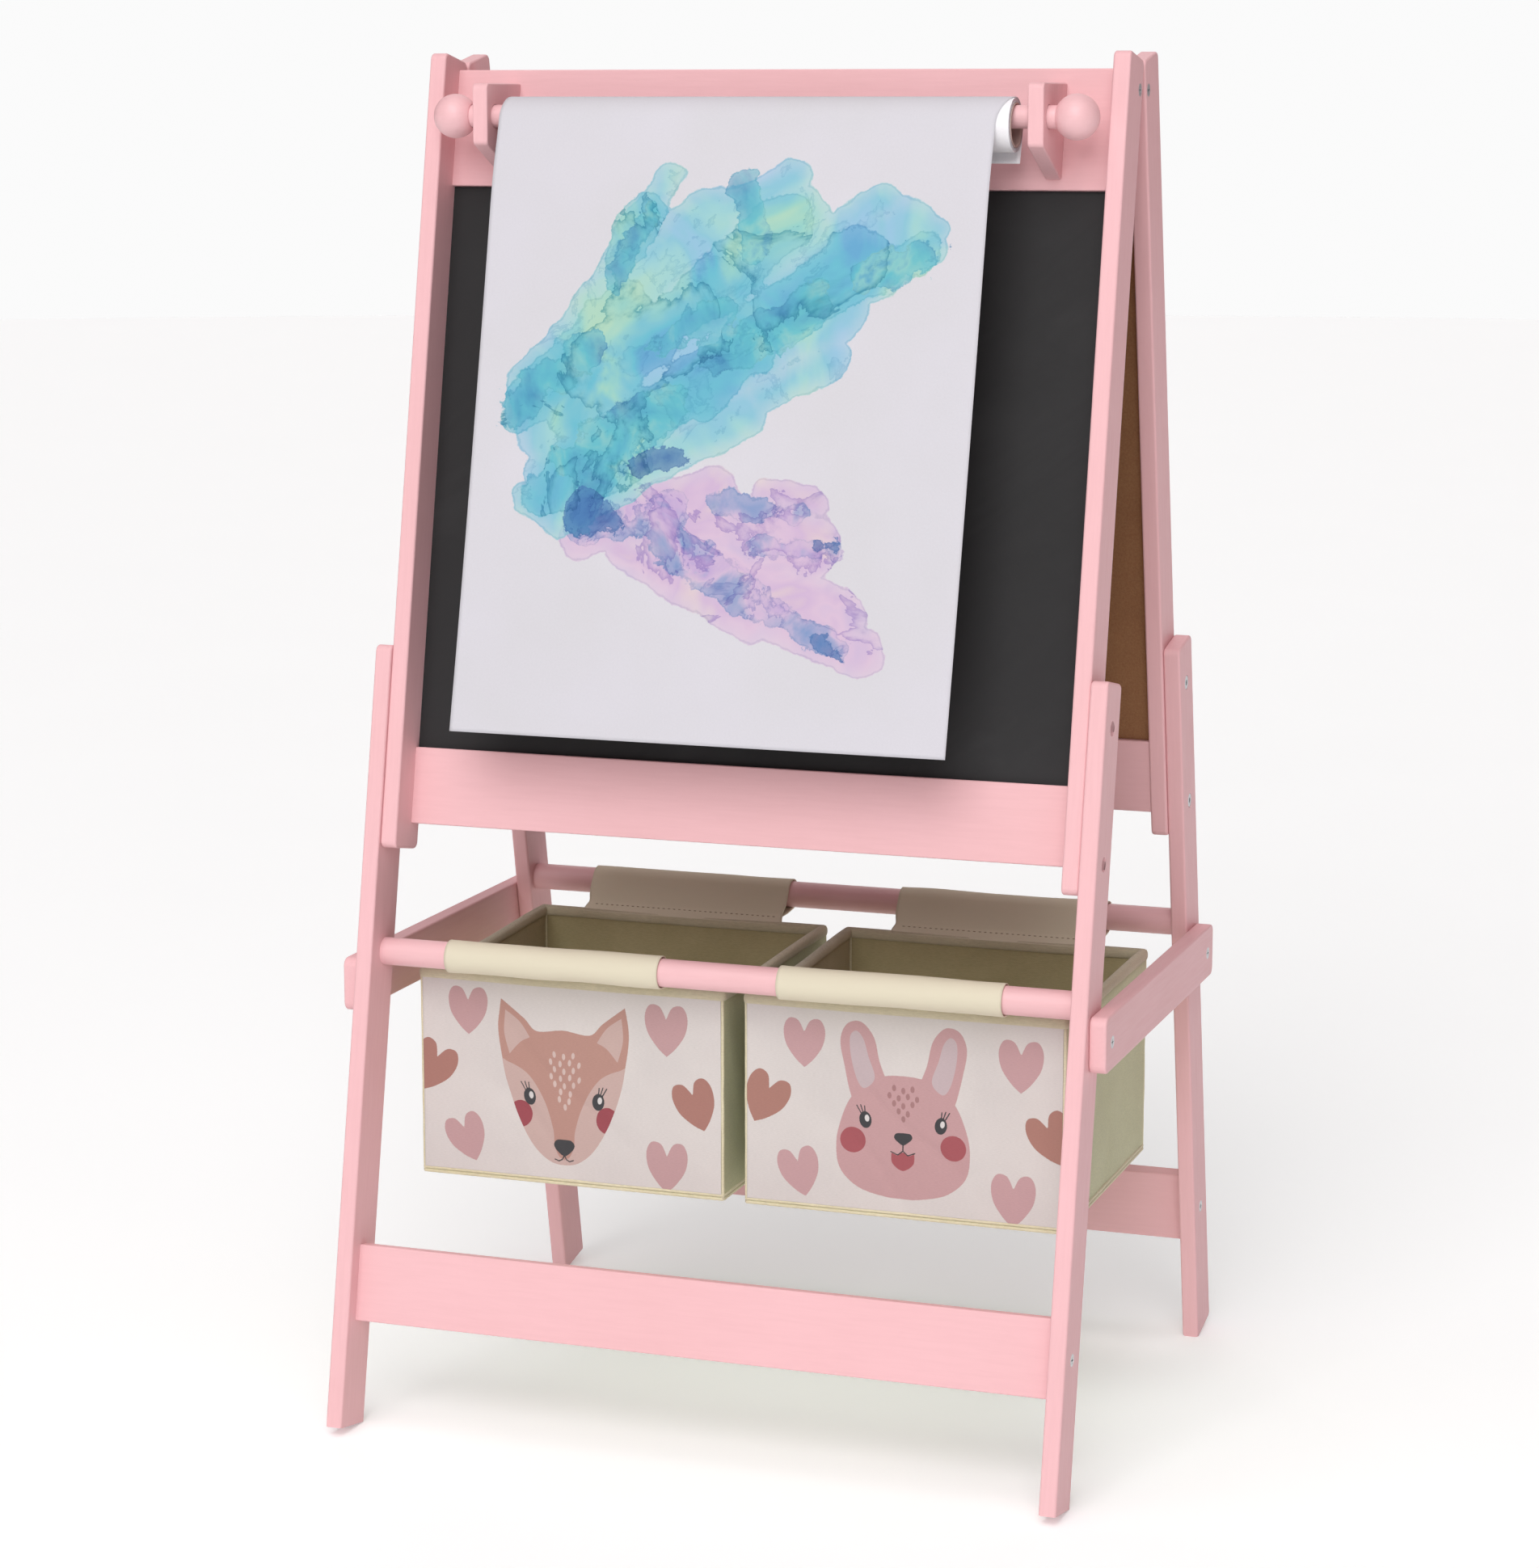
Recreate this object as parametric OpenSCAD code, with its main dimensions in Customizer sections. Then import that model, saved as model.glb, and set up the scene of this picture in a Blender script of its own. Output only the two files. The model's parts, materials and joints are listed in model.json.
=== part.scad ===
/* [Overall] */
// Clear width between the uprights
clear_w = 480; // [400:1:640]
// Length of each upright, measured along its slope from the level of the feet
upright_top = 966; // [800:1:1200]
// Lean of both frames from the vertical, in degrees
lean = 11.1; // [8:0.1:14]
// Gap between the inner top corners of the front and rear uprights
top_gap = 1; // [0.6:0.1:4]

/* [Uprights and legs] */
// Thickness of the uprights, side to side
upright_t = 12; // [11:0.5:20]
// Depth of the uprights, front to back
upright_d = 38; // [38:0.5:60]
// Where the uprights start, along the slope
upright_foot = 407.5; // [380:0.5:420]
// Corner radius of the uprights and legs
slat_r = 5; // [1:0.5:8]
// Thickness of the legs
leg_t = 12; // [10:0.5:20]
// Depth of the legs
leg_d = 38; // [30:0.5:60]
// How far the legs stand in front of the uprights
leg_proud = 2.2; // [0:0.1:6]
// Where the legs end, along the slope
leg_top = 549.5; // [530:0.5:640]

/* [Rails and boards] */
// Thickness of the rails
rail_t = 12; // [10:0.5:16]
// Step from the front of the uprights to the front of the rails
rail_step = 24.5; // [14:0.5:25]
// Top edge of the top rail, along the slope from the top of the uprights
top_rail_drop = 7.5; // [2:0.5:30]
// Height of the top rail
top_rail_h = 82; // [76:0.5:110]
// Bottom edge of the lower rail, along the slope
lower_rail_s = 425.5; // [410:0.5:440]
// Height of the lower rail
lower_rail_h = 54; // [48:0.5:70]
// Thickness of the boards
board_t = 3; // [2:0.1:5]
// Depth of the board grooves
groove_depth = 4; // [2:0.5:5]
// Clearance of the boards in their grooves
board_fit = 0.15; // [0.1:0.05:0.4]

/* [Lower frame] */
// Bottom edge of the stretchers, along the slope
stretcher_s = 74.5; // [60:0.5:140]
// Height of the stretchers
stretcher_h = 53.5; // [45:0.5:80]
// Thickness of the stretchers
stretcher_t = 12; // [10:0.5:16]
// Step from the front of the uprights to the front of the stretchers
stretcher_step = 10; // [4:0.5:16]
// Height of the rods, along the slope
rod_s = 334.5; // [320:0.5:350]
// Depth of the rods' centre behind the front of the uprights
rod_depth = 20.7; // [16:0.1:22]
// Diameter of the bin rods
rod_dia = 19.5; // [14:0.5:24]
// Depth of the sockets that hold the rods
socket_depth = 6; // [3:0.5:9]
// Height of the braces' centre line above the floor
brace_z = 309; // [290:0.5:312]
// Height of the braces
brace_h = 38; // [30:0.5:44]
// Thickness of the braces
brace_t = 12; // [9:0.5:18]
// How far a brace runs past the centre of each leg
brace_end = 10.6; // [4:0.1:16]
// Corner radius of the braces
brace_r = 6; // [1:0.5:10]

/* [Paper holder] */
// Height of the holder's dowel, along the slope below the top of the uprights
dowel_drop = 48; // [42:0.5:54]
// How far the dowel's centre stands in front of the uprights
dowel_out = 16; // [8:0.5:30]
// Diameter of the dowel
dowel_dia = 15.5; // [12:0.5:18]
// Running clearance around the dowel
dowel_gap = 0.4; // [0.3:0.05:0.8]
// Thickness of the brackets
bracket_t = 11; // [9:0.5:16]
// Space between an upright and the nearest bracket
bracket_inset = 36.5; // [36:0.5:60]
// Bracket height above the dowel's centre
bracket_above = 22.3; // [14:0.1:26]
// Bracket height below the dowel's centre, at the front
bracket_below = 18.9; // [12:0.1:24]
// How far below the dowel's centre the bracket meets the rail
bracket_foot = 41.8; // [30:0.1:44]
// Wood in front of the dowel's centre
bracket_nose = 14.6; // [12:0.1:22]
// Diameter of the ball knobs
knob_dia = 30.5; // [22:0.5:32]
// Gap between a ball knob and its upright
knob_gap = 2.4; // [1.5:0.1:6]
// Outside diameter of the wound paper
roll_dia = 36; // [33:0.5:44]
// Outside diameter of the paper's core
core_dia = 30; // [26:0.5:32]
// Wall of the paper's core
core_wall = 1.5; // [1:0.1:3]
// Space between the roll and each bracket
roll_end_gap = 11; // [3:0.5:30]
// Thickness of the hanging sheet's solid
sheet_t = 0.8; // [0.5:0.1:1.5]
// Bottom edge of the hanging sheet, along the slope above the lower rail
sheet_clear = 11.5; // [2:0.5:200]
// How far the sheet's end hangs below the roll behind it
sheet_tail = 5; // [2:0.5:12]

/* [Bins] */
// Space between a bin and the legs
bin_side_gap = 15; // [6:0.5:40]
// Space between the two bins
bin_mid_gap = 16; // [6:0.5:40]
// Space between the centre of each rod and the bins
bin_rod_gap = 26; // [20:0.5:50]
// Height of the bins
bin_h = 150; // [90:1:180]
// Drop from the rods' centre to the bins' rim
bin_drop = 16.8; // [14:0.1:30]
// Thickness of the bins' fabric
fabric_t = 1.2; // [0.8:0.1:2]
// Thickness of the stiffening boards in the bins
stiff_t = 2; // [1:0.1:3]
// Thickness of the bins' lining
lining_t = 0.8; // [0.5:0.1:1.5]
// How far the rod sleeves stop short of the bins' ends
sleeve_inset = 34.5; // [10:0.5:60]
// Clearance between a rod and its sleeve
sleeve_gap = 0.5; // [0.3:0.1:1.5]
// Thickness of the sleeves
sleeve_t = 1.5; // [1:0.1:2.5]
// Height of the sleeves' hem on the bins
hem_h = 11; // [6:0.5:20]

/* [Fasteners] */
// Shank diameter of the wood screws
screw_dia = 4; // [3:0.1:5]
// Head diameter of the wood screws
screw_head = 8.6; // [7:0.1:9]
// Length of the screws in end grain
screw_len = 42; // [30:1:60]
// Diameter of the wooden pins
pin_dia = 6; // [5:0.5:8]
// Length of the wooden pins
pin_len = 24; // [16:1:30]
// Diameter of the leg bolts
bolt_dia = 6; // [5:0.5:7]
// Head diameter of the leg bolts
bolt_head = 9.6; // [9:0.1:11]
// How deep the front leg bolts' heads are sunk
front_sink = 5.5; // [3:0.1:6.5]
// Clearance around fasteners in their holes
fastener_fit = 0.05; // [0.03:0.01:0.2]

/* [Hidden] */

$fn = 64;
pink = "#f9c9cb";
steel = "#b9bcc0";
khaki = "#cfc5a6";
beech = "#d9b98a";
eps = 0.01;
over = 1;

half_w = clear_w / 2;
leg_x = half_w + upright_t;
brace_x = leg_x + leg_t;
bay_w = 2 * leg_x;

// The frames' foot: the lowest corner of the square-cut legs stands on the floor.
foot_z = (leg_d - leg_proud) * sin(lean);
foot_y = -(upright_top * sin(lean) + upright_d * cos(lean) + top_gap / 2);

rail_back = rail_step + rail_t;
board_depth = rail_step + (rail_t - board_t) / 2;
top_rail_top = upright_top - top_rail_drop;
top_rail_s = top_rail_top - top_rail_h;
lower_rail_top = lower_rail_s + lower_rail_h;
leg_mid = leg_d / 2 - leg_proud;
rail_mid = rail_step + rail_t / 2;
stretcher_mid = stretcher_step + stretcher_t / 2;

// World position of a point of the front frame, given its depth and its place along the slope
function world_y(depth, s) = foot_y + s * sin(lean) + depth * cos(lean);
function world_z(depth, s) = foot_z + s * cos(lean) - depth * sin(lean);
// Depth and place along the slope of a point of the front frame, given in the world
function frame_depth(y, z) = (y - foot_y) * cos(lean) - (z - foot_z) * sin(lean);
function frame_s(y, z) = (y - foot_y) * sin(lean) + (z - foot_z) * cos(lean);
// Keeps faces that touch on one plane
function whole_hundredths(length) = round(length * 100) / 100;
// Place along the slope of the point at a given depth and height above the floor
function slope_at(depth, z) = (z - foot_z + depth * sin(lean)) / cos(lean);

rod_y = world_y(rod_depth, rod_s);
rod_z = world_z(rod_depth, rod_s);
dowel_s = upright_top - dowel_drop;
dowel_y = world_y(-dowel_out, dowel_s);
dowel_z = world_z(-dowel_out, dowel_s);
bracket_in = half_w - bracket_inset - bracket_t;
knob_x = half_w - knob_gap - knob_dia / 2;
knob_bore = 5;
dowel_end = knob_x - sqrt(pow(knob_dia / 2, 2) - pow(dowel_dia / 2, 2)) + knob_bore;

core_bore = core_dia - 2 * core_wall;
roll_half = bracket_in - roll_end_gap;
roll_z = dowel_z - (core_bore - dowel_dia) / 2 + dowel_gap;
sheet_gap = 0.4;
sheet_in = roll_dia / 2 + sheet_gap;
roll_inset = 0.5;
sheet_inset = 1;
sheet_half = roll_half - sheet_inset;
tail_drop = roll_dia / 2 + sheet_tail;

brace_leg_y = world_y(leg_mid, slope_at(leg_mid, brace_z));
brace_half = -brace_leg_y + brace_end;
brace_screw_inset = 17;
brace_screw_y = brace_half - brace_screw_inset;

bin_w = (bay_w - 2 * bin_side_gap - bin_mid_gap) / 2;
bin_x = (bin_w + bin_mid_gap) / 2;
bin_d = 2 * whole_hundredths(-rod_y - bin_rod_gap);
bin_top = whole_hundredths(rod_z - bin_drop);
stiff_gap = 0.1;
sleeve_r = rod_dia / 2 + sleeve_gap + sleeve_t;
sleeve_len = bin_w - 2 * sleeve_inset;

screw_head_h = 3;
screw_tip = 5;
screw_point_r = 0.3;
screw_hole_rest = 0.5;
cross_w = 0.9;
cross_depth = 1.8;
cross_share = 0.27;
screw_stop = 3;
brace_screw_len = brace_t + leg_t - screw_stop;
bracket_screw_len = 30;
bracket_screw_drop = 13;
bracket_screw_rise = 20;
hinge_screw_len = 10;
hinge_screw_dia = 3;
hinge_screw_head = 5.6;
bolt_head_h = 2.8;
head_gap = 0.4;
insert_wall = 1.4;
insert_len = 9;
bolt_rest = 1;
bolt_head_rest = 0.1;
bolt_socket_r = 2.3;
bolt_socket_depth = 2;
bolt_from_foot = 21.5;
bolt_from_top = 30.5;
bolt_spots = [upright_foot + bolt_from_foot, leg_top - bolt_from_top];

top_screw_drop = 13.5;
top_pin_rise = 18;
pin_split = 15;

hinge_x = 130;
hinge_len = 50;
hinge_leaf_h = 30;
hinge_leaf_t = 1.5;
hinge_pin_drop = 2.5;
hinge_s = top_rail_top - hinge_pin_drop;
hinge_depth = -(foot_y + hinge_s * sin(lean)) / cos(lean);
hinge_r = hinge_depth - rail_back;
hinge_pin_r = hinge_r - hinge_leaf_t - fastener_fit;
hinge_gap = 0.2;
hinge_part = (hinge_len - 2 * hinge_gap) / 3;
hinge_screw_x = 15;
hinge_screw_drop = 21;
hinge_screw_s = hinge_s - hinge_screw_drop;

// ---- helpers ----

// Frame axes: X across, Y into the depth of the frame, Z up the slope
module on_front() { translate([0, foot_y, foot_z]) rotate([-lean, 0, 0]) children(); }
module on_rear() { mirror([0, 1, 0]) on_front() children(); }
module on_side(side) { if (side > 0) children(); else mirror([1, 0, 0]) children(); }
module both_sides() { children(); mirror([1, 0, 0]) children(); }

// Draws a Y-Z outline and extrudes it along X, from x to x + t
module along_x(x, t) { translate([x, 0, 0]) rotate([90, 0, 90]) linear_extrude(t) children(); }

// A rod along X through the point (y, z)
module rod_x(x, len, y, z, r) { translate([x, y, z]) rotate([0, 90, 0]) cylinder(h = len, r = r); }

// Rectangle whose two upper and two lower corners are rounded
module rounded_plate(w, h, r_low, r_high) {
    translate([0, r_low]) square([w, h - r_low - r_high]);
    if (r_low > 0) rounded_edge(w, r_low);
    if (r_high > 0) translate([0, h]) mirror([0, 1]) rounded_edge(w, r_high);
}
module rounded_edge(w, r) {
    translate([r, 0]) square([w - 2 * r, r]);
    for (x = [r, w - r]) translate([x, r]) intersection() {
        circle(r);
        translate([-r, -r]) square([2 * r, r]);
    }
}

// Countersunk wood screw: its head lies at the origin and its shank runs along -Z
module wood_screw(len, dia = screw_dia, head = screw_head) {
    difference() {
        union() {
            translate([0, 0, -screw_head_h]) cylinder(h = screw_head_h, r1 = dia / 2, r2 = head / 2);
            translate([0, 0, screw_tip - len]) cylinder(h = len - screw_tip - screw_head_h, r = dia / 2);
            translate([0, 0, -len]) cylinder(h = screw_tip, r1 = screw_point_r, r2 = dia / 2);
        }
        drive_cross(head * cross_share);
    }
}
module drive_cross(reach) {
    for (a = [0, 90]) rotate(a) translate([-reach, -cross_w / 2, -cross_depth])
        cube([2 * reach, cross_w, cross_depth + over]);
}
module screw_hole(len, dia = screw_dia, head = screw_head) {
    f = fastener_fit;
    translate([0, 0, -screw_head_h]) cylinder(h = screw_head_h, r1 = dia / 2 + f, r2 = head / 2 + f);
    translate([0, 0, -len - screw_hole_rest]) cylinder(h = len + screw_hole_rest, r = dia / 2 + f);
    translate([0, 0, -eps]) cylinder(h = over, r = head / 2 + f);
}

// Turns a fastener drawn along -Z so that it is driven inwards from the outer side face at x
module from_side(x, depth, s) { translate([x, depth, s]) rotate([0, 90, 0]) children(); }
// Turns a fastener drawn along -Z so that it is driven forwards from a rear face
module from_back(x, depth, s) { translate([x, depth, s]) rotate([-90, 0, 0]) children(); }

module pin_hole(x0, x1, depth, s) {
    rod_x(x0, x1 - x0, depth, s, pin_dia / 2 + fastener_fit);
}

// ---- board frames ----

top_screw_s = top_rail_top - top_screw_drop;
top_pin_s = top_rail_s + top_pin_rise;
lower_mid_s = lower_rail_s + lower_rail_h / 2;
rail_screw_spots = [top_screw_s, lower_mid_s];
rail_pin_spots = [top_pin_s, lower_mid_s - pin_split, lower_mid_s + pin_split];
pin_in_side = 7;

module upright(side) {
    on_side(side) difference() {
        along_x(half_w, upright_t) translate([0, upright_foot])
            rounded_plate(upright_d, upright_top - upright_foot, slat_r, slat_r);
        board_cut();
        for (s = rail_screw_spots) from_side(leg_x, rail_mid, s) screw_hole(screw_len);
        for (s = rail_pin_spots) pin_hole(half_w - over, half_w + pin_in_side + fastener_fit, rail_mid, s);
        for (s = bolt_spots)
            rod_x(leg_x - insert_len - fastener_fit, insert_len + over, leg_mid, s,
                  bolt_dia / 2 + insert_wall + fastener_fit);
    }
}

// Space that the board and its clearance take in the rails and uprights
module board_cut() {
    translate([-half_w - groove_depth, board_depth, lower_rail_top - groove_depth])
        cube([clear_w + 2 * groove_depth, board_t, top_rail_s - lower_rail_top + 2 * groove_depth]);
}

module rail(s, h, screws, pins) {
    difference() {
        translate([-half_w, rail_step, s]) cube([clear_w, rail_t, h]);
        board_cut();
        both_sides() {
            for (k = screws) from_side(leg_x, rail_mid, k) screw_hole(screw_len);
            for (k = pins) pin_hole(half_w + pin_in_side - pin_len - fastener_fit, half_w + over, rail_mid, k);
        }
        children();
    }
}
module top_rail() {
    rail(top_rail_s, top_rail_h, [top_screw_s], [top_pin_s]) {
        hinge_screw_places() screw_hole(hinge_screw_len, hinge_screw_dia, hinge_screw_head);
        children();
    }
}
module lower_rail() {
    rail(lower_rail_s, lower_rail_h, [lower_mid_s], [lower_mid_s - pin_split, lower_mid_s + pin_split]);
}

module front_upright(side) { color(pink) on_front() upright(side); }
module rear_upright(side) { color(pink) on_rear() upright(side); }
module front_top_rail() {
    color(pink) on_front() top_rail() bracket_screw_places() screw_hole(bracket_screw_len);
}
module rear_top_rail() { color(pink) on_rear() top_rail(); }
module front_lower_rail() { color(pink) on_front() lower_rail(); }
module rear_lower_rail() { color(pink) on_rear() lower_rail(); }

module board() {
    f = board_fit;
    translate([-half_w - groove_depth + f, board_depth + f / 2, lower_rail_top - groove_depth + f])
        cube([clear_w + 2 * groove_depth - 2 * f, board_t - f,
              top_rail_s - lower_rail_top + 2 * groove_depth - 2 * f]);
}
module chalkboard() { color("#333333") on_front() board(); }
module whiteboard() { color("#f2f2f0") on_rear() board(); }

// ---- legs and lower frame ----

stretcher_screw_s = stretcher_s + stretcher_h / 2;
stretcher_pin_spots = [stretcher_screw_s - pin_split, stretcher_screw_s + pin_split];

module leg(side, sink) {
    on_side(side) difference() {
        along_x(leg_x, leg_t) translate([-leg_proud, 0]) rounded_plate(leg_d, leg_top, 0, slat_r);
        for (s = bolt_spots) {
            rod_x(leg_x - over, leg_t + 2 * over, leg_mid, s, bolt_dia / 2 + fastener_fit);
            rod_x(brace_x - sink, sink + over, leg_mid, s, bolt_head / 2 + head_gap);
        }
        from_side(brace_x, stretcher_mid, stretcher_screw_s) screw_hole(screw_len);
        for (s = stretcher_pin_spots)
            pin_hole(leg_x - over, leg_x + pin_in_side + fastener_fit, stretcher_mid, s);
        rod_x(leg_x - over, socket_depth + over, rod_depth, rod_s, rod_dia / 2 + fastener_fit);
    }
}
// The legs' holes for the brace screws are level with the floor, not with the slope.
module front_leg(side) {
    color(pink) difference() {
        on_front() leg(side, front_sink);
        on_side(side) brace_screw_places() screw_hole(brace_screw_len);
    }
}
module rear_leg(side) {
    color(pink) difference() {
        on_rear() leg(side, bolt_head_h);
        on_side(side) brace_screw_places() screw_hole(brace_screw_len);
    }
}

module stretcher() {
    difference() {
        translate([-leg_x, stretcher_step, stretcher_s]) cube([bay_w, stretcher_t, stretcher_h]);
        both_sides() {
            from_side(brace_x, stretcher_mid, stretcher_screw_s) screw_hole(screw_len);
            for (s = stretcher_pin_spots)
                pin_hole(leg_x + pin_in_side - pin_len - fastener_fit, leg_x + over, stretcher_mid, s);
        }
    }
}
module front_stretcher() { color(pink) on_front() stretcher(); }
module rear_stretcher() { color(pink) on_rear() stretcher(); }

module bin_rod() {
    reach = leg_x + socket_depth - fastener_fit;
    rod_x(-reach, 2 * reach, rod_depth, rod_s, rod_dia / 2);
}
module front_rod() { color(pink) on_front() bin_rod(); }
module rear_rod() { color(pink) on_rear() bin_rod(); }

module brace_screw_places() {
    for (y = [-brace_screw_y, brace_screw_y]) from_side(brace_x + brace_t, y, brace_z) children();
}
module brace(side) {
    color(pink) on_side(side) difference() {
        along_x(brace_x, brace_t) translate([-brace_half, brace_z - brace_h / 2])
            rounded_plate(2 * brace_half, brace_h, brace_r, brace_r);
        brace_screw_places() screw_hole(brace_screw_len);
    }
}

// ---- paper holder ----

// Where the rail's front face stands at a given height
function rail_face_y(z) = world_y(rail_step, slope_at(rail_step, z));
bracket_top_z = dowel_z + bracket_above;
bracket_low_z = dowel_z - bracket_below;
bracket_foot_z = dowel_z - bracket_foot;
bracket_front_y = dowel_y - bracket_nose;
bracket_r = 4;
bevel_angle = atan2(bracket_low_z - bracket_foot_z, rail_face_y(bracket_foot_z) - bracket_front_y);

function arc(y, z, r, from, to, steps = 8) =
    [for (i = [0:steps]) let (a = from + (to - from) * i / steps) [y + r * cos(a), z + r * sin(a)]];

module bracket_outline() {
    turn = 90 - bevel_angle;
    polygon(concat(
        [[rail_face_y(bracket_top_z), bracket_top_z]],
        arc(bracket_front_y + bracket_r, bracket_top_z - bracket_r, bracket_r, 90, 180),
        arc(bracket_front_y + bracket_r, bracket_low_z + bracket_r * tan(turn / 2), bracket_r,
            180, 180 + turn),
        [[rail_face_y(bracket_foot_z), bracket_foot_z]]));
}
module bracket_screw_places() {
    for (x = [-1, 1], s = [dowel_s - bracket_screw_drop, dowel_s + bracket_screw_rise])
        from_back(x * (bracket_in + bracket_t / 2), rail_back, s) children();
}
module bracket(side) {
    color(pink) difference() {
        on_side(side) along_x(bracket_in, bracket_t) bracket_outline();
        rod_x(-half_w, clear_w, dowel_y, dowel_z, dowel_dia / 2 + dowel_gap);
        on_front() bracket_screw_places() screw_hole(bracket_screw_len);
    }
}
module holder_dowel() {
    color(pink) rod_x(-dowel_end, 2 * dowel_end, dowel_y, dowel_z, dowel_dia / 2);
}
module knob(side) {
    color(pink) on_side(side) difference() {
        translate([knob_x, dowel_y, dowel_z]) rotate([0, 90, 0]) rotate_extrude() intersection() {
            circle(d = knob_dia);
            translate([0, -knob_dia]) square(2 * knob_dia);
        }
        rod_x(bracket_in, dowel_end - bracket_in, dowel_y, dowel_z, dowel_dia / 2 + fastener_fit);
    }
}

module tube_x(half, r_out, r_in) {
    difference() {
        rod_x(-half, 2 * half, dowel_y, roll_z, r_out);
        rod_x(-half - over, 2 * (half + over), dowel_y, roll_z, r_in);
    }
}
module paper_core() { color("#b08f86") tube_x(roll_half, core_dia / 2, core_bore / 2); }
module paper_roll() { color("white") tube_x(roll_half - roll_inset, roll_dia / 2, core_dia / 2); }

// The sheet's end hangs behind the roll, then it goes over the roll and down in front of the board.
sheet_drop = frame_s(dowel_y, roll_z) - lower_rail_top - sheet_clear;
sheet_out = sheet_in + sheet_t;
module sheet_outline() {
    difference() {
        circle(sheet_out);
        circle(sheet_in);
        translate([-sheet_out - over, -sheet_out - over]) square([2 * (sheet_out + over), sheet_out + over]);
    }
    translate([-sheet_out, -sheet_drop]) square([sheet_t, sheet_drop]);
    translate([sheet_in, -tail_drop]) square([sheet_t, tail_drop]);
}
module paper_sheet() {
    color("#eeeef4") on_front() along_x(-sheet_half, 2 * sheet_half)
        translate([frame_depth(dowel_y, roll_z), frame_s(dowel_y, roll_z)]) sheet_outline();
}

// ---- bins ----

module at_bin(side) { translate([side * bin_x, 0, bin_top]) children(); }
// An upright block centred on the bin, hanging from the rim: w by d, from z0 down to z1
module bin_block(w, d, z0, z1) { translate([-w / 2, -d / 2, -z1]) cube([w, d, z1 - z0]); }

module bin_fabric(side) {
    color(khaki) at_bin(side) difference() {
        bin_block(bin_w, bin_d, lining_t, bin_h);
        bin_block(bin_w - 2 * fabric_t, bin_d - 2 * fabric_t, -over, bin_h - fabric_t);
    }
}
module bin_boards(side) {
    w = bin_w - 2 * fabric_t;
    d = bin_d - 2 * fabric_t;
    low = bin_h - fabric_t;
    color("#9c8d70") at_bin(side) {
        bin_block(w, d, low - stiff_t, low);
        for (k = [-1, 1]) {
            translate([0, k * (d - stiff_t) / 2, 0]) bin_block(w, stiff_t, lining_t, low - stiff_t);
            translate([k * (w - stiff_t) / 2, 0, 0])
                bin_block(stiff_t, d - 2 * (stiff_t + stiff_gap), lining_t, low - stiff_t);
        }
    }
}
module bin_lining(side) {
    w = bin_w - 2 * (fabric_t + stiff_t);
    d = bin_d - 2 * (fabric_t + stiff_t);
    color("#8f8463") at_bin(side) difference() {
        union() {
            bin_block(w, d, 0, bin_h - fabric_t - stiff_t);
            bin_block(bin_w, bin_d, 0, lining_t);
        }
        bin_block(w - 2 * lining_t, d - 2 * lining_t, -over, bin_h - fabric_t - stiff_t - lining_t);
    }
}
// One sleeve wraps the front rod, and its strap runs down to a hem sewn to the bin's front.
module sleeve_outline() {
    hem_y = -bin_d / 2;
    run = hem_y - sleeve_t / 2 - rod_y;
    rise = bin_drop + sleeve_t;
    difference() {
        union() {
            translate([rod_y, rod_z]) {
                circle(sleeve_r);
                rotate(-atan2(rise, run)) translate([0, -sleeve_t / 2]) square([norm([run, rise]), sleeve_t]);
            }
            translate([hem_y - sleeve_t, bin_top - hem_h]) square([sleeve_t, hem_h]);
        }
        translate([rod_y, rod_z]) circle(rod_dia / 2 + sleeve_gap);
    }
}
module sleeve() { along_x(-sleeve_len / 2, sleeve_len) sleeve_outline(); }
module bin_sleeves(side) {
    color(khaki) translate([side * bin_x, 0, 0]) {
        sleeve();
        mirror([0, 1, 0]) sleeve();
    }
}

// ---- hinges and fasteners ----

module hinge_screw_places() {
    for (x = [-1, 1], k = [-1, 1])
        from_back(x * hinge_x + k * hinge_screw_x, rail_back + hinge_leaf_t, hinge_screw_s) children();
}
// One leaf with its knuckles: parts lists the knuckles that it owns, counted from 0 to 2
module hinge_leaf(x, parts) {
    difference() {
        union() {
            translate([x - hinge_len / 2, rail_back, hinge_s - hinge_leaf_h])
                cube([hinge_len, hinge_leaf_t, hinge_leaf_h]);
            for (i = parts) knuckle(x, i, 0, hinge_r);
        }
        for (i = [0, 1, 2]) if (len(search(i, parts)) == 0) knuckle(x, i, hinge_gap, hinge_r + hinge_gap);
        rod_x(x - hinge_len, 2 * hinge_len, hinge_depth, hinge_s, hinge_pin_r + fastener_fit);
        hinge_screw_places() screw_hole(hinge_screw_len, hinge_screw_dia, hinge_screw_head);
    }
}
module knuckle(x, i, grow, r) {
    start = x - hinge_len / 2 + i * (hinge_part + hinge_gap);
    rod_x(start - grow, hinge_part + 2 * grow, hinge_depth, hinge_s, r);
}
module hinge_front_leaves() {
    color(steel) on_front() for (k = [-1, 1]) hinge_leaf(k * hinge_x, [0, 2]);
}
module hinge_rear_leaves() {
    color(steel) on_rear() for (k = [-1, 1]) hinge_leaf(k * hinge_x, [1]);
}
module hinge_pins() {
    color(steel) on_front() for (k = [-1, 1])
        rod_x(k * hinge_x - hinge_len / 2, hinge_len, hinge_depth, hinge_s, hinge_pin_r);
}
module hinge_screws() {
    color(steel) {
        on_front() hinge_screw_places() wood_screw(hinge_screw_len, hinge_screw_dia, hinge_screw_head);
        on_rear() hinge_screw_places() wood_screw(hinge_screw_len, hinge_screw_dia, hinge_screw_head);
    }
}

module on_both_frames() { on_front() children(); on_rear() children(); }

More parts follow.
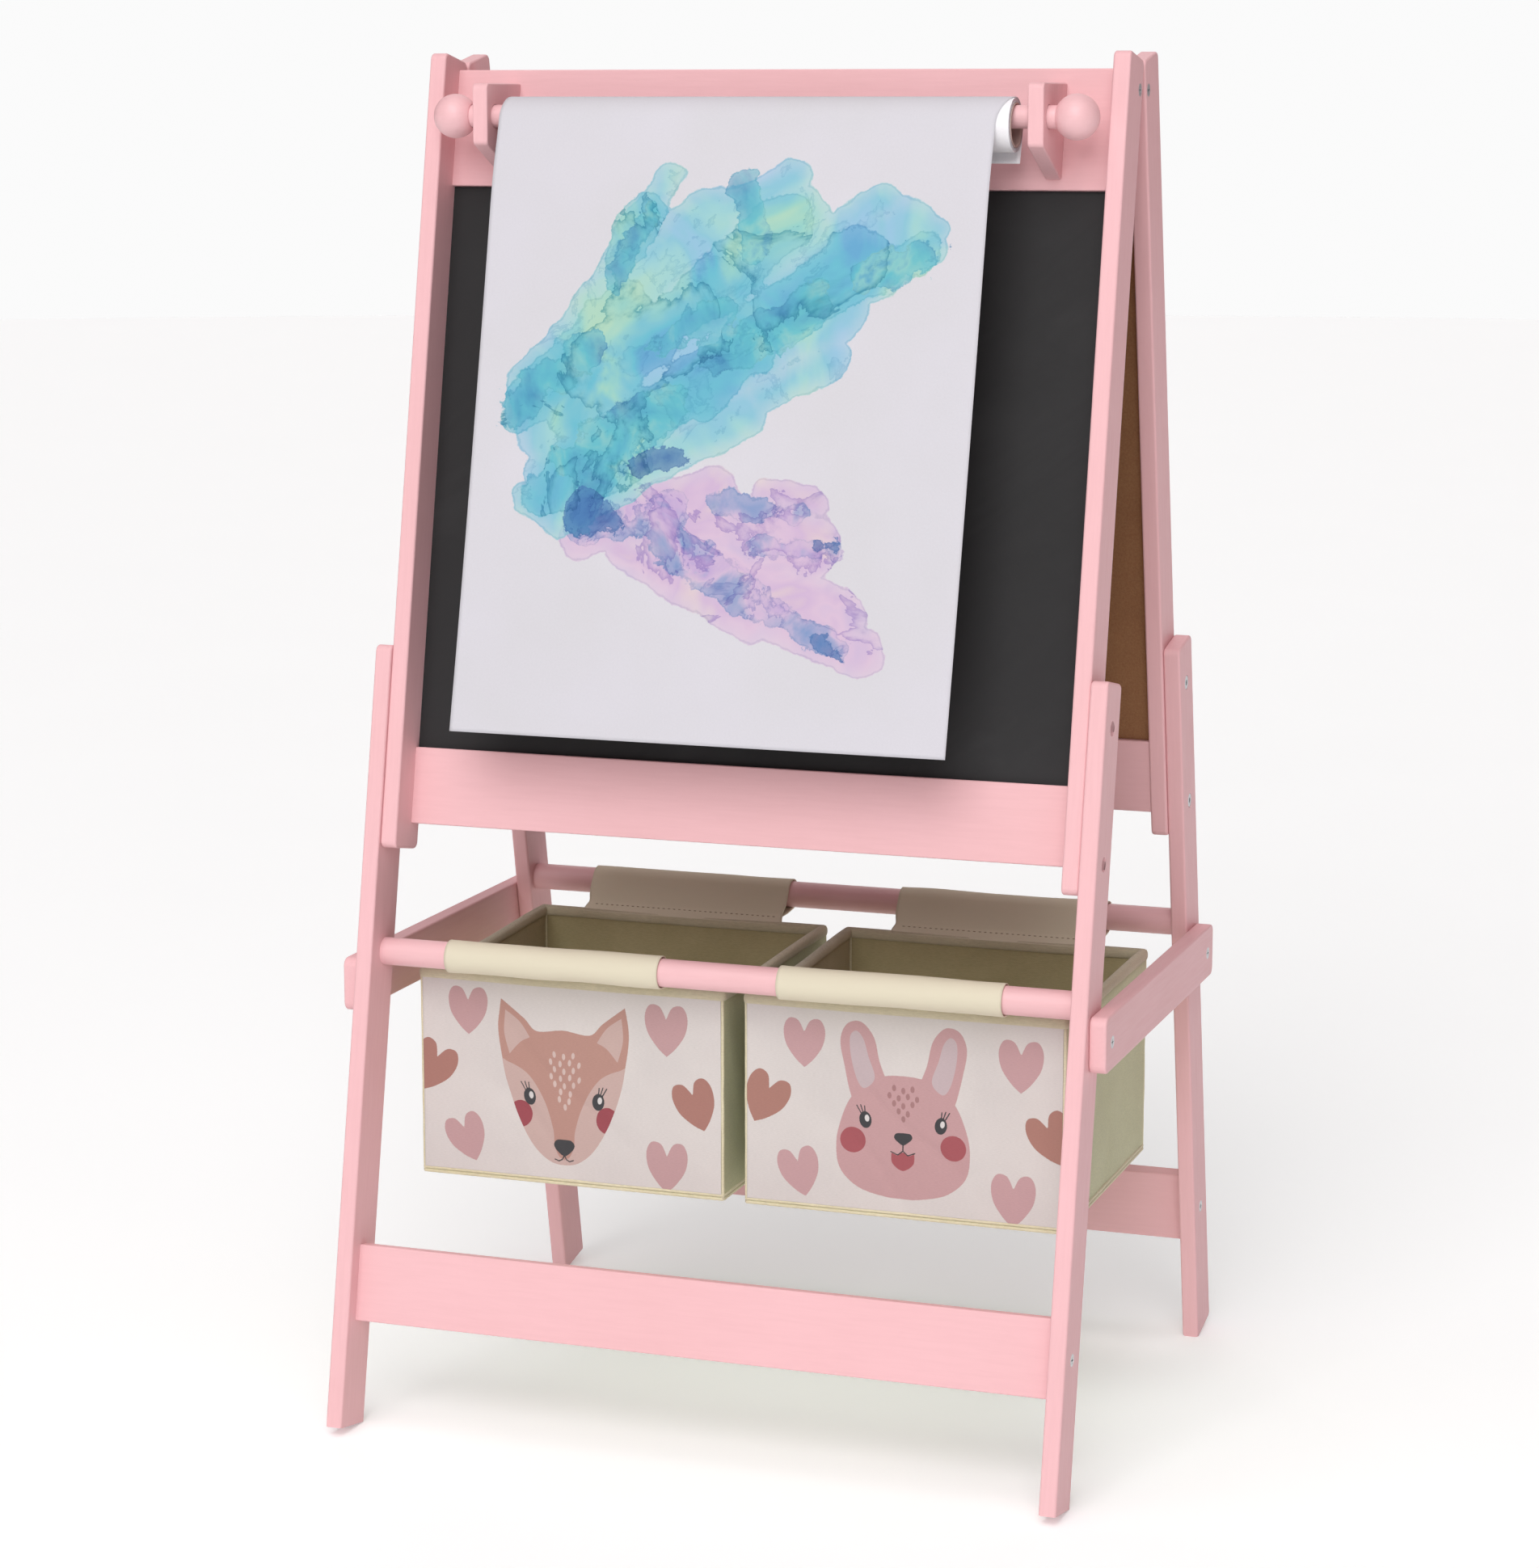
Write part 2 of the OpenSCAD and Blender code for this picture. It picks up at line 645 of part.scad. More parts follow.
module rail_screws() {
    color(steel) on_both_frames() both_sides()
        for (s = rail_screw_spots) from_side(leg_x, rail_mid, s) wood_screw(screw_len);
}
module side_pin(x, depth, s) { rod_x(x + pin_in_side - pin_len, pin_len, depth, s, pin_dia / 2); }
module rail_pins() {
    color(beech) on_both_frames() both_sides() for (s = rail_pin_spots) side_pin(half_w, rail_mid, s);
}
module stretcher_screws() {
    color(steel) on_both_frames() both_sides()
        from_side(brace_x, stretcher_mid, stretcher_screw_s) wood_screw(screw_len);
}
module stretcher_pins() {
    color(beech) on_both_frames() both_sides()
        for (s = stretcher_pin_spots) side_pin(leg_x, stretcher_mid, s);
}
module brace_screws() {
    color(steel) both_sides() brace_screw_places() wood_screw(brace_screw_len);
}
module bracket_screws() {
    color(steel) on_front() bracket_screw_places() wood_screw(bracket_screw_len);
}

// Socket-head bolt through a leg into the insert of the upright
module leg_bolt(s, sink) {
    reach = leg_t - sink + insert_len - bolt_rest;
    color(steel) from_side(brace_x - sink, leg_mid, s) difference() {
        union() {
            cylinder(h = bolt_head_h - bolt_head_rest, r = bolt_head / 2);
            translate([0, 0, -reach]) cylinder(h = reach, r = bolt_dia / 2);
        }
        translate([0, 0, bolt_head_h - bolt_socket_depth])
            cylinder(h = bolt_socket_depth + over, r = bolt_socket_r, $fn = 6);
    }
}
module front_leg_bolts() { on_front() both_sides() for (s = bolt_spots) leg_bolt(s, front_sink); }
module rear_leg_bolts() { on_rear() both_sides() for (s = bolt_spots) leg_bolt(s, bolt_head_h); }
module bolt_inserts() {
    color("#c8a24a") on_both_frames() both_sides() for (s = bolt_spots) difference() {
        rod_x(leg_x - insert_len, insert_len, leg_mid, s, bolt_dia / 2 + insert_wall);
        rod_x(leg_x - insert_len - over, insert_len + 2 * over, leg_mid, s, bolt_dia / 2 + fastener_fit);
    }
}

front_upright(-1);  // front_upright_left
front_upright(1);  // front_upright_right
rear_upright(-1);  // rear_upright_left
rear_upright(1);  // rear_upright_right
front_top_rail();
front_lower_rail();
rear_top_rail();
rear_lower_rail();
chalkboard();
whiteboard();
front_leg(-1);  // front_leg_left
front_leg(1);  // front_leg_right
rear_leg(-1);  // rear_leg_left
rear_leg(1);  // rear_leg_right
front_stretcher();
rear_stretcher();
front_rod();
rear_rod();
brace(-1);  // brace_left
brace(1);  // brace_right
bracket(-1);  // bracket_left
bracket(1);  // bracket_right
holder_dowel();
knob(-1);  // knob_left
knob(1);  // knob_right
paper_core();
paper_roll();
paper_sheet();
bin_fabric(-1);  // bin_left_fabric
bin_boards(-1);  // bin_left_boards
bin_lining(-1);  // bin_left_lining
bin_sleeves(-1);  // bin_left_sleeves
bin_fabric(1);  // bin_right_fabric
bin_boards(1);  // bin_right_boards
bin_lining(1);  // bin_right_lining
bin_sleeves(1);  // bin_right_sleeves
hinge_front_leaves();
hinge_rear_leaves();
hinge_pins();
hinge_screws();
rail_screws();
rail_pins();
stretcher_screws();
stretcher_pins();
brace_screws();
bracket_screws();
front_leg_bolts();
rear_leg_bolts();
bolt_inserts();
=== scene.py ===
"""The looks of the kids easel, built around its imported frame. Metres, +X to the right, +Z up."""
import json
import math

import bmesh
import bpy
import numpy as np
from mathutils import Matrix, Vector, noise


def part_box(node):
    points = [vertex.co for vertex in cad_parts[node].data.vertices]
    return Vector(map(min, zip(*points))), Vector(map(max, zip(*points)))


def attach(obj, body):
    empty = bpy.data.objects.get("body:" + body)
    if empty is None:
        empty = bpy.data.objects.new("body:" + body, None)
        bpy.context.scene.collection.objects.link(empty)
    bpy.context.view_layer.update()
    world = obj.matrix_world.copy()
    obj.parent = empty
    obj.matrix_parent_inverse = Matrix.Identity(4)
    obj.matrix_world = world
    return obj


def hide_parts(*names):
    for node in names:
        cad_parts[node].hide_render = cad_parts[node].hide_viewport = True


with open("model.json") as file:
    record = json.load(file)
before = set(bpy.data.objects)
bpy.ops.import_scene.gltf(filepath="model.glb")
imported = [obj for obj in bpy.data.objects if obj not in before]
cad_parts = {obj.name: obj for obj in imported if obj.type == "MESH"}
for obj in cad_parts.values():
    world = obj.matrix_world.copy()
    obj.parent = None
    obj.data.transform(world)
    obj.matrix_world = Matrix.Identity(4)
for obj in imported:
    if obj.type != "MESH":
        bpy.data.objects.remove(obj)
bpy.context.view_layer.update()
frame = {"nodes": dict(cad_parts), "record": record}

MM = 0.001
RECORD = frame["record"]
BODY_OF = {node: body for body, nodes in RECORD["behaviour"]["bodies"].items() for node in nodes}
BOARD = next(m for m in RECORD["mounts"] if m["name"] == "chalkboard_face")
LEAN = math.atan2(BOARD["axis"][2], -BOARD["axis"][1])
FRONT, REAR = -1, 1

# ---- camera, light and floor ----

VIEW_AZIMUTH = math.radians(19.275)
VIEW_PITCH = math.radians(10.21)
EYE = (0.8685, -2.5223, 0.9224)


def make_camera():
    data = bpy.data.cameras.new("camera")
    data.lens = 87.31
    data.sensor_width = 36
    camera = bpy.data.objects.new("camera", data)
    camera.location = EYE
    camera.rotation_euler = (math.pi / 2 - VIEW_PITCH, 0, VIEW_AZIMUTH)
    bpy.context.scene.collection.objects.link(camera)
    bpy.context.scene.camera = camera


def sun(name, towards, strength, softness):
    """A soft distant light that shines from the direction it is given."""
    data = bpy.data.lights.new(name, "SUN")
    data.energy = strength
    data.angle = math.radians(softness)
    light = bpy.data.objects.new(name, data)
    light.rotation_euler = Vector(towards).to_track_quat("Z", "Y").to_euler()
    bpy.context.scene.collection.objects.link(light)


def lamp(name, place, aim, power, width):
    """A soft square light that stands near the easel."""
    data = bpy.data.lights.new(name, "AREA")
    data.energy = power
    data.size = width
    light = bpy.data.objects.new(name, data)
    light.location = place
    light.rotation_euler = (Vector(place) - Vector(aim)).to_track_quat("Z", "Y").to_euler()
    bpy.context.scene.collection.objects.link(light)


def make_studio():
    bpy.context.scene.view_settings.view_transform = "Standard"
    world = bpy.data.worlds.new("studio")
    bpy.context.scene.world = world
    world.use_nodes = True
    tree = world.node_tree
    tree.nodes.clear()
    out = add(tree, "OutputWorld")
    seen = add(tree, "Background", {"Color": (0.963, 0.963, 0.963, 1), "Strength": 1.0})
    soft = add(tree, "Background", {"Color": (1.0, 0.70, 0.70, 1), "Strength": 0.20})
    path = add(tree, "LightPath")
    mixed = add(tree, "MixShader", {0: path.outputs["Is Camera Ray"], 1: soft.outputs[0], 2: seen.outputs[0]})
    tree.links.new(mixed.outputs[0], out.inputs["Surface"])
    sun("key", (0.08, -0.83, 0.55), 1.38, 44)
    sun("overhead", (0.0, -0.35, 0.94), 1.0, 60)
    sun("back", (-0.20, 0.75, 0.62), 0.45, 50)
    lamp("high_front", (0.25, -1.45, 1.40), (0, -0.1, 0.85), 4.0, 0.9)


def make_floor():
    mesh = bpy.data.meshes.new("floor")
    bm = bmesh.new()
    bmesh.ops.create_circle(bm, cap_ends=True, segments=96, radius=14)
    bm.to_mesh(mesh)
    bm.free()
    floor = bpy.data.objects.new("floor", mesh)
    bpy.context.scene.collection.objects.link(floor)
    tree, shader = new_material("studio_floor")
    spots = noise_of(tree, coords(tree), 3, 3)
    plug(tree, shader, {"Base Color": ramp(tree, spots, [(0.3, "#fafafa"), (0.7, "#fbfbfb")]),
                        "Roughness": 1.0, "Specular IOR Level": 0.0,
                        "Emission Color": (0.78, 1, 1, 1), "Emission Strength": 0.2})
    mesh.materials.append(bpy.data.materials["studio_floor"])


# ---- shader helpers ----


def rgb(text):
    """A colour written #rrggbb, as linear light."""
    parts = [int(text[i:i + 2], 16) / 255 for i in (1, 3, 5)]
    return (*[p / 12.92 if p <= 0.04045 else ((p + 0.055) / 1.055) ** 2.4 for p in parts], 1)


def add(tree, kind, inputs=None, **settings):
    """A new shader node, with its settings and inputs."""
    node = tree.nodes.new("ShaderNode" + kind)
    for key, value in settings.items():
        setattr(node, key, value)
    return plug(tree, node, inputs or {})


def plug(tree, node, inputs):
    """Gives each of a node's sockets a link or a value of its own."""
    for key, value in inputs.items():
        if isinstance(value, bpy.types.NodeSocket):
            tree.links.new(value, node.inputs[key])
        else:
            node.inputs[key].default_value = value
    return node


def new_material(name):
    material = bpy.data.materials.new(name)
    material.use_nodes = True
    tree = material.node_tree
    return tree, tree.nodes["Principled BSDF"]


def coords(tree, scale=(1, 1, 1), turn=(0, 0, 0), uv=False):
    source = add(tree, "UVMap").outputs[0] if uv else add(tree, "TexCoord").outputs["Object"]
    turned = add(tree, "Mapping", {"Vector": source, "Rotation": turn}).outputs[0]
    return add(tree, "Mapping", {"Vector": turned, "Scale": scale}).outputs[0]


def noise_of(tree, vector, scale, detail=2, rough=0.5, warp=0.0):
    inputs = {"Vector": vector, "Scale": scale, "Detail": detail, "Roughness": rough, "Distortion": warp}
    return add(tree, "TexNoise", inputs).outputs["Fac"]


def ramp(tree, factor, stops):
    node = add(tree, "ValToRGB", {"Fac": factor})
    points = node.color_ramp.elements
    while len(points) < len(stops):
        points.new(0.5)
    for point, (place, colour) in zip(points, stops):
        point.position = place
        point.color = rgb(colour) if isinstance(colour, str) else (colour, colour, colour, 1)
    return node.outputs[0]


def value(tree, operation, *inputs, clamp=False):
    node = add(tree, "Math", dict(enumerate(inputs)), operation=operation, use_clamp=clamp)
    return node.outputs[0]


def blend_colour(tree, factor, a, b, kind="MIX"):
    """Colour a with colour b over it. A Mix node's colours are its inputs 6 and 7 and its output 2."""
    return add(tree, "Mix", {0: factor, 6: a, 7: b}, data_type="RGBA", blend_type=kind).outputs[2]


def bump(tree, shader, height, depth, before=None):
    inputs = {"Height": height, "Strength": 1.0, "Distance": depth}
    if before is not None:
        inputs["Normal"] = before
    normal = add(tree, "Bump", inputs).outputs[0]
    plug(tree, shader, {"Normal": normal})
    return normal


# ---- materials ----

GRAIN_TURNS = {"x": (0, 0, 0), "y": (0, 0, math.pi / 2), "up": (0, math.pi / 2, 0),
               "front": (LEAN, 0, 0), "rear": (-LEAN, 0, 0)}


def painted_wood(grain, gloss=0.14):
    """Satin pink paint over close-grained wood, with the grain along one direction."""
    name = f"pink_paint_{grain}{'_turned' if gloss > 0.3 else ''}"
    if name in bpy.data.materials:
        return bpy.data.materials[name]
    tree, shader = new_material(name)
    stretch = (1, 16, 16) if grain in ("x", "y", "up") else (16, 16, 1)
    fibre = noise_of(tree, coords(tree, stretch, GRAIN_TURNS[grain]), 26, 5, 0.6)
    film = noise_of(tree, coords(tree), 420, 2)
    drift = noise_of(tree, coords(tree), 7, 2)
    tone = ramp(tree, drift, [(0.3, "#eabbbe"), (0.7, "#edbec2")])
    lines = ramp(tree, fibre, [(0.35, "#f8f5f5"), (0.6, "#ffffff")])
    plug(tree, shader, {"Base Color": blend_colour(tree, 0.35, tone, lines, "MULTIPLY"),
                        "Roughness": ramp(tree, fibre, [(0.3, 0.5), (0.7, 0.38)]),
                        "Specular IOR Level": gloss})
    first = bump(tree, shader, film, 0.03 * MM)
    bump(tree, shader, fibre, 0.08 * MM, first)
    return bpy.data.materials[name]


def zinc():
    tree, shader = new_material("zinc_steel")
    scratches = noise_of(tree, coords(tree, (1, 1, 9)), 900, 3)
    plug(tree, shader, {"Metallic": 1.0,
                        "Base Color": ramp(tree, scratches, [(0.3, "#9a8f8b"), (0.7, "#dccfca")]),
                        "Roughness": ramp(tree, scratches, [(0.3, 0.32), (0.7, 0.46)])})
    bump(tree, shader, scratches, 0.01 * MM)
    return bpy.data.materials["zinc_steel"]


def speckled(name, scale, detail, dark, light, rough, depth=0.0, stretch=(1, 1, 1), fine=0.5, metallic=0.0):
    """A plain material in two close tones, with a relief as deep as depth."""
    if name in bpy.data.materials:
        return bpy.data.materials[name]
    tree, shader = new_material(name)
    spots = noise_of(tree, coords(tree, stretch), scale, detail, fine)
    plug(tree, shader, {"Base Color": ramp(tree, spots, [(0.3, dark), (0.7, light)]), "Roughness": rough,
                        "Metallic": metallic})
    if depth:
        bump(tree, shader, spots, depth)
    return bpy.data.materials[name]


def chalk_face():
    tree, shader = new_material("chalkboard_black")
    grit = noise_of(tree, coords(tree), 2600, 2)
    haze = noise_of(tree, coords(tree, (1, 1, 2.2), (0, 0.5, 0)), 6, 4, 0.6, 0.8)
    base = ramp(tree, grit, [(0.3, "#282829"), (0.7, "#2b2b2c")])
    dusty = blend_colour(tree, ramp(tree, haze, [(0.5, 0.0), (0.8, 0.035)]), base, rgb("#a8a8aa"))
    plug(tree, shader, {"Base Color": dusty, "Roughness": ramp(tree, haze, [(0.3, 0.62), (0.8, 0.8)]),
                        "Specular IOR Level": 0.3})
    bump(tree, shader, grit, 0.04 * MM)
    return bpy.data.materials["chalkboard_black"]


def hardboard():
    tree, shader = new_material("hardboard_brown")
    pulp = noise_of(tree, coords(tree), 700, 5, 0.7)
    cloud = noise_of(tree, coords(tree), 18, 3)
    base = ramp(tree, pulp, [(0.3, "#7d5433"), (0.7, "#9a6e48")])
    over = ramp(tree, cloud, [(0.3, "#8a6040"), (0.7, "#a67c55")])
    plug(tree, shader, {"Base Color": blend_colour(tree, 0.3, base, over), "Roughness": 0.8})
    bump(tree, shader, pulp, 0.2 * MM)
    return bpy.data.materials["hardboard_brown"]


def white_face():
    tree, shader = new_material("whiteboard_white")
    smear = noise_of(tree, coords(tree, (3, 1, 1)), 9, 4, 0.6)
    plug(tree, shader, {"Base Color": ramp(tree, smear, [(0.3, "#f1f1ef"), (0.8, "#e9eaec")]),
                        "Roughness": ramp(tree, smear, [(0.3, 0.12), (0.8, 0.2)]), "Coat Weight": 0.4})
    return bpy.data.materials["whiteboard_white"]


def plain_paper():
    return speckled("white_paper", 900, 4, "#ececf0", "#f6f6f8", 0.75, 0.03 * MM, (1, 3, 3), 0.65)


def wound_edge(centre_y, centre_z):
    """The roll's cut end: fine rings of paper, one wound on the other."""
    tree, shader = new_material("wound_paper_edge")
    away = add(tree, "VectorMath", {0: add(tree, "TexCoord").outputs["Object"], 1: (0, centre_y, centre_z)},
               operation="SUBTRACT").outputs[0]
    flat = add(tree, "VectorMath", {0: away, 1: (0, 1, 1)}, operation="MULTIPLY").outputs[0]
    far = add(tree, "VectorMath", {0: flat}, operation="LENGTH").outputs["Value"]
    rings = value(tree, "SINE", value(tree, "MULTIPLY", far, 2 * math.pi / (0.35 * MM)))
    uneven = noise_of(tree, coords(tree), 300, 3)
    mixed = value(tree, "MULTIPLY_ADD", rings, 0.25, uneven)
    plug(tree, shader, {"Base Color": ramp(tree, mixed, [(0.2, "#bdbcc2"), (0.8, "#efeff2")]),
                        "Roughness": 0.85})
    bump(tree, shader, rings, 0.05 * MM)
    return bpy.data.materials["wound_paper_edge"]


def weave(tree, pitch):
    """Height of a plain weave on the UV map, which is in metres."""
    turns = 2 * math.pi / pitch
    flat = coords(tree, (turns, turns, turns), uv=True)
    split = add(tree, "SeparateXYZ", {0: flat})
    across, along = (value(tree, "SINE", split.outputs[i]) for i in (0, 1))
    return value(tree, "MULTIPLY", across, along)


def fabric(name, dark, light, pitch):
    """Woven cloth of two close tones. pitch is the width of a thread and its gap."""
    if name in bpy.data.materials:
        return bpy.data.materials[name]
    tree, shader = new_material(name)
    threads = weave(tree, pitch)
    wear = noise_of(tree, coords(tree), 14, 4, 0.6)
    slub = noise_of(tree, coords(tree, (1, 1, 6)), 320, 3)
    base = ramp(tree, wear, [(0.3, dark), (0.7, light)])
    fine = ramp(tree, value(tree, "MULTIPLY_ADD", threads, 0.2, slub), [(0.25, "#d9d9d9"), (0.75, "#ffffff")])
    plug(tree, shader, {"Base Color": blend_colour(tree, 0.6, base, fine, "MULTIPLY"), "Roughness": 0.85,
                        "Sheen Weight": 0.25, "Sheen Roughness": 0.5})
    bump(tree, shader, value(tree, "MULTIPLY_ADD", threads, 0.5, slub), 0.12 * MM)
    return bpy.data.materials[name]


CLOTHS = {"khaki_fabric": ("#c6c79d", "#d0d1a8", 0.9 * MM),
          "cream_binding": ("#e2dab6", "#eee7c8", 0.7 * MM),
          "sleeve_fabric": ("#a39885", "#ada38f", 0.8 * MM),
          "lining_fabric": ("#b6ab80", "#c2b78c", 1.0 * MM),
          "rim_band_fabric": ("#cfc6a8", "#dad2b5", 0.8 * MM)}


def cloth(name):
    return fabric(name, *CLOTHS[name])


# ---- mesh helpers ----

WELD = 0.001 * MM
FLAT = math.radians(0.4)
LATHE_SIDES = 96


def link(name, mesh, material, body, nodes=()):
    """Puts a finished mesh on its body, and hides the CAD nodes it stands for."""
    piece = bpy.data.objects.new(name, mesh)
    bpy.context.scene.collection.objects.link(piece)
    for one in material if isinstance(material, (list, tuple)) else [material]:
        mesh.materials.append(one)
    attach(piece, body)
    if nodes:
        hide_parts(*nodes)
    return piece


def grid_mesh(name, points, uv, close_rows=False, close_columns=False):
    """A mesh of quads from rows of points. uv holds one more column or row where the grid closes."""
    rows, columns = points.shape[:2]
    mesh = bpy.data.meshes.new(name)
    faces, corners = [], []
    for i in range(rows if close_rows else rows - 1):
        for j in range(columns if close_columns else columns - 1):
            quad = ((i, j), (i, j + 1), (i + 1, j + 1), (i + 1, j))
            faces.append([(a % rows) * columns + b % columns for a, b in quad])
            corners.extend(uv[a][b] for a, b in quad)
    mesh.from_pydata(points.reshape(-1, 3).tolist(), [], faces)
    mesh.uv_layers.new(name="UVMap").data.foreach_set("uv", np.array(corners, np.float32).ravel())
    mesh.polygons.foreach_set("use_smooth", [True] * len(faces))
    return mesh


def store(mesh, name, values):
    """Writes a float for each point of a grid mesh, for its shader to read."""
    mesh.attributes.new(name, "FLOAT", "POINT").data.foreach_set("value", values.ravel().astype(np.float32))


def lengths(points):
    """Distance along a line of points, from its start."""
    steps = np.linalg.norm(np.diff(points, axis=0), axis=1)
    return np.concatenate([[0], np.cumsum(steps)])


def tube(path, radius, sides=10, closed=False):
    """Points of a round cord along a path, as a grid: one row for each point."""
    path = np.asarray(path, float)
    ahead = np.roll(path, -1, 0) - np.roll(path, 1, 0)
    if not closed:
        ahead[0], ahead[-1] = path[1] - path[0], path[-1] - path[-2]
    rings = []
    side = Vector((0, 0, 1)) if abs(Vector(ahead[0]).normalized().z) < 0.9 else Vector((1, 0, 0))
    for place, direction in zip(path, ahead):
        d = Vector(direction).normalized()
        side = (side - d * side.dot(d)).normalized()
        other = d.cross(side)
        ring = [Vector(place) + radius * (math.cos(a) * side + math.sin(a) * other)
                for a in np.linspace(0, 2 * math.pi, sides, endpoint=False)]
        rings.append([tuple(p) for p in ring])
    return np.array(rings)


def cord_mesh(name, path, radius, sides=10, closed=False):
    """A round cord along a path. An open one gets flat ends."""
    points = tube(path, radius, sides, closed)
    along = lengths(np.vstack([path, path[:1]]))
    around = np.linspace(0, 2 * math.pi * radius, sides + 1)
    uv = [[(a, s) for a in around] for s in along]
    mesh = grid_mesh(name, points, uv, close_rows=closed, close_columns=True)
    if not closed:
        cap_ends(mesh, len(path), sides)
    return mesh


def cap_ends(mesh, rows, columns):
    """Closes the first and the last ring of a mesh of rings."""
    bm = bmesh.new()
    bm.from_mesh(mesh)
    bm.verts.ensure_lookup_table()
    for start in (0, (rows - 1) * columns):
        ring = [bm.verts[start + j] for j in range(columns)]
        face = bm.faces.new(ring if start else ring[::-1])
        face.smooth = False
    bm.to_mesh(mesh)
    bm.free()


def join(name, meshes):
    """One mesh out of several that share a material."""
    bm = bmesh.new()
    for mesh in meshes:
        bm.from_mesh(mesh)
        bpy.data.meshes.remove(mesh)
    return mesh_from(bm, name)


def mesh_from(bm, name):
    mesh = bpy.data.meshes.new(name)
    bm.to_mesh(mesh)
    bm.free()
    return mesh


def cad_solid(node):
    """The CAD node's own shape, with its flat faces made whole."""
    bm = bmesh.new()
    bm.from_mesh(frame["nodes"][node].data)
    bmesh.ops.remove_doubles(bm, verts=bm.verts, dist=WELD)
    bmesh.ops.dissolve_limit(bm, angle_limit=FLAT, verts=bm.verts, edges=bm.edges)
    return bm


STITCH_PITCH, STITCH_LENGTH, STITCH_RADIUS = 4.2 * MM, 2.1 * MM, 0.36 * MM
STITCH_SWELL = np.array([0.35, 0.9, 1, 0.9, 0.35])
STITCH_SIDES = 6


def stitch_line(path):
    """Short raised stitches along a path, thinner at both ends."""
    along = lengths(path)
    count = len(STITCH_SWELL)
    meshes = []
    for start in np.arange(STITCH_PITCH / 2, along[-1] - STITCH_LENGTH, STITCH_PITCH):
        places = np.linspace(start, start + STITCH_LENGTH, count)
        points = np.stack([np.interp(places, along, path[:, k]) for k in range(3)], 1)
        rings = tube(points, STITCH_RADIUS, STITCH_SIDES)
        rings = points[:, None] + (rings - points[:, None]) * STITCH_SWELL[:, None, None]
        mesh = grid_mesh("stitch", rings, np.zeros((count + 1, STITCH_SIDES + 1, 2)), close_columns=True)
        cap_ends(mesh, count, STITCH_SIDES)
        meshes.append(mesh)
    return join("row", meshes)


# ---- painted wood ----

EDGE = 1.7 * MM
STEEP = math.radians(50)
SHARP = math.radians(35)
TURNED_SHARP = math.radians(40)
NEAR = 0.2 * MM
HOLE_WALL_AREA = 0.002
INWARDS = math.radians(-1.5)


def hollow_wall(face):
    """True for a small face that turns inwards to a neighbour, as the wall of a hole or a groove does."""
    inner = (len(e.link_faces) == 2 and e.calc_face_angle_signed() < INWARDS for e in face.edges)
    return face.calc_area() < HOLE_WALL_AREA and any(inner)


def soften(bm, width, keep):
    """Rounds the outer edges of a solid. Holes, grooves and the edges that keep() names stay sharp."""
    edges = [e for e in bm.edges
             if len(e.link_faces) == 2 and e.calc_face_angle_signed() > STEEP
             and not any(hollow_wall(f) for f in e.link_faces) and not keep(e)]
    bmesh.ops.bevel(bm, geom=edges, offset=width, offset_type="OFFSET", segments=4, profile=0.5,
                    affect="EDGES", clamp_overlap=True)


def wood_piece(node, grain, width=EDGE, keep=lambda e: False):
    """The CAD node's own shape, with softened edges and a painted finish."""
    bm = cad_solid(node)
    bmesh.ops.recalc_face_normals(bm, faces=bm.faces)
    soften(bm, width, keep)
    mesh = mesh_from(bm, node + "_painted")
    mesh.polygons.foreach_set("use_smooth", [True] * len(mesh.polygons))
    mesh.set_sharp_from_angle(angle=SHARP)
    piece = link(node + "_painted", mesh, painted_wood(grain), BODY_OF[node], [node])
    even = piece.modifiers.new("even_normals", "WEIGHTED_NORMAL")
    even.keep_sharp = True


def at_side_end(node):
    """Says which edges lie on the ends of a rail that butts against its neighbours."""
    low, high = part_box(node)
    return lambda edge: any(all(abs(v.co.x - x) < NEAR for v in edge.verts) for x in (low.x, high.x))


def at_foot(node):
    """Says which edges lie on the square cut at a leg's lower end."""
    side = FRONT if node.startswith("front") else REAR
    up = Vector((0, -side * math.sin(LEAN), math.cos(LEAN)))
    lowest = min(v.co.dot(up) for v in frame["nodes"][node].data.vertices)
    return lambda edge: all(v.co.dot(up) - lowest < NEAR for v in edge.verts)


def make_wood():
    for side in ("front", "rear"):
        for half in ("left", "right"):
            wood_piece(f"{side}_upright_{half}", side)
            leg = f"{side}_leg_{half}"
            wood_piece(leg, side, keep=at_foot(leg))
        for rail in ("top_rail", "lower_rail", "stretcher"):
            node = f"{side}_{rail}"
            wood_piece(node, "x", 1.1 * MM, at_side_end(node))
    for half in ("left", "right"):
        wood_piece("brace_" + half, "y", 1.6 * MM)
        wood_piece("bracket_" + half, "up", 1.2 * MM)


def lathe_x(name, profile, centre, sides=LATHE_SIDES):
    """Turns a profile of (x, radius) pairs about the X axis through centre."""
    angles = np.linspace(0, 2 * math.pi, sides, endpoint=False)
    profile = np.asarray(profile, float)
    points = np.empty((len(profile), sides, 3))
    points[:, :, 0] = profile[:, :1]
    points[:, :, 1] = centre[0] + profile[:, 1:] * np.cos(angles)
    points[:, :, 2] = centre[1] + profile[:, 1:] * np.sin(angles)
    along = lengths(profile)
    around = np.linspace(0, 2 * math.pi * profile[:, 1].max(), sides + 1)
    return grid_mesh(name, points, [[(a, s) for a in around] for s in along], close_columns=True)


def node_axis(node):
    """Centre (y, z), radius and ends along X of a round CAD node."""
    low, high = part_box(node)
    return ((low.y + high.y) / 2, (low.z + high.z) / 2), (high.z - low.z) / 2, low.x, high.x


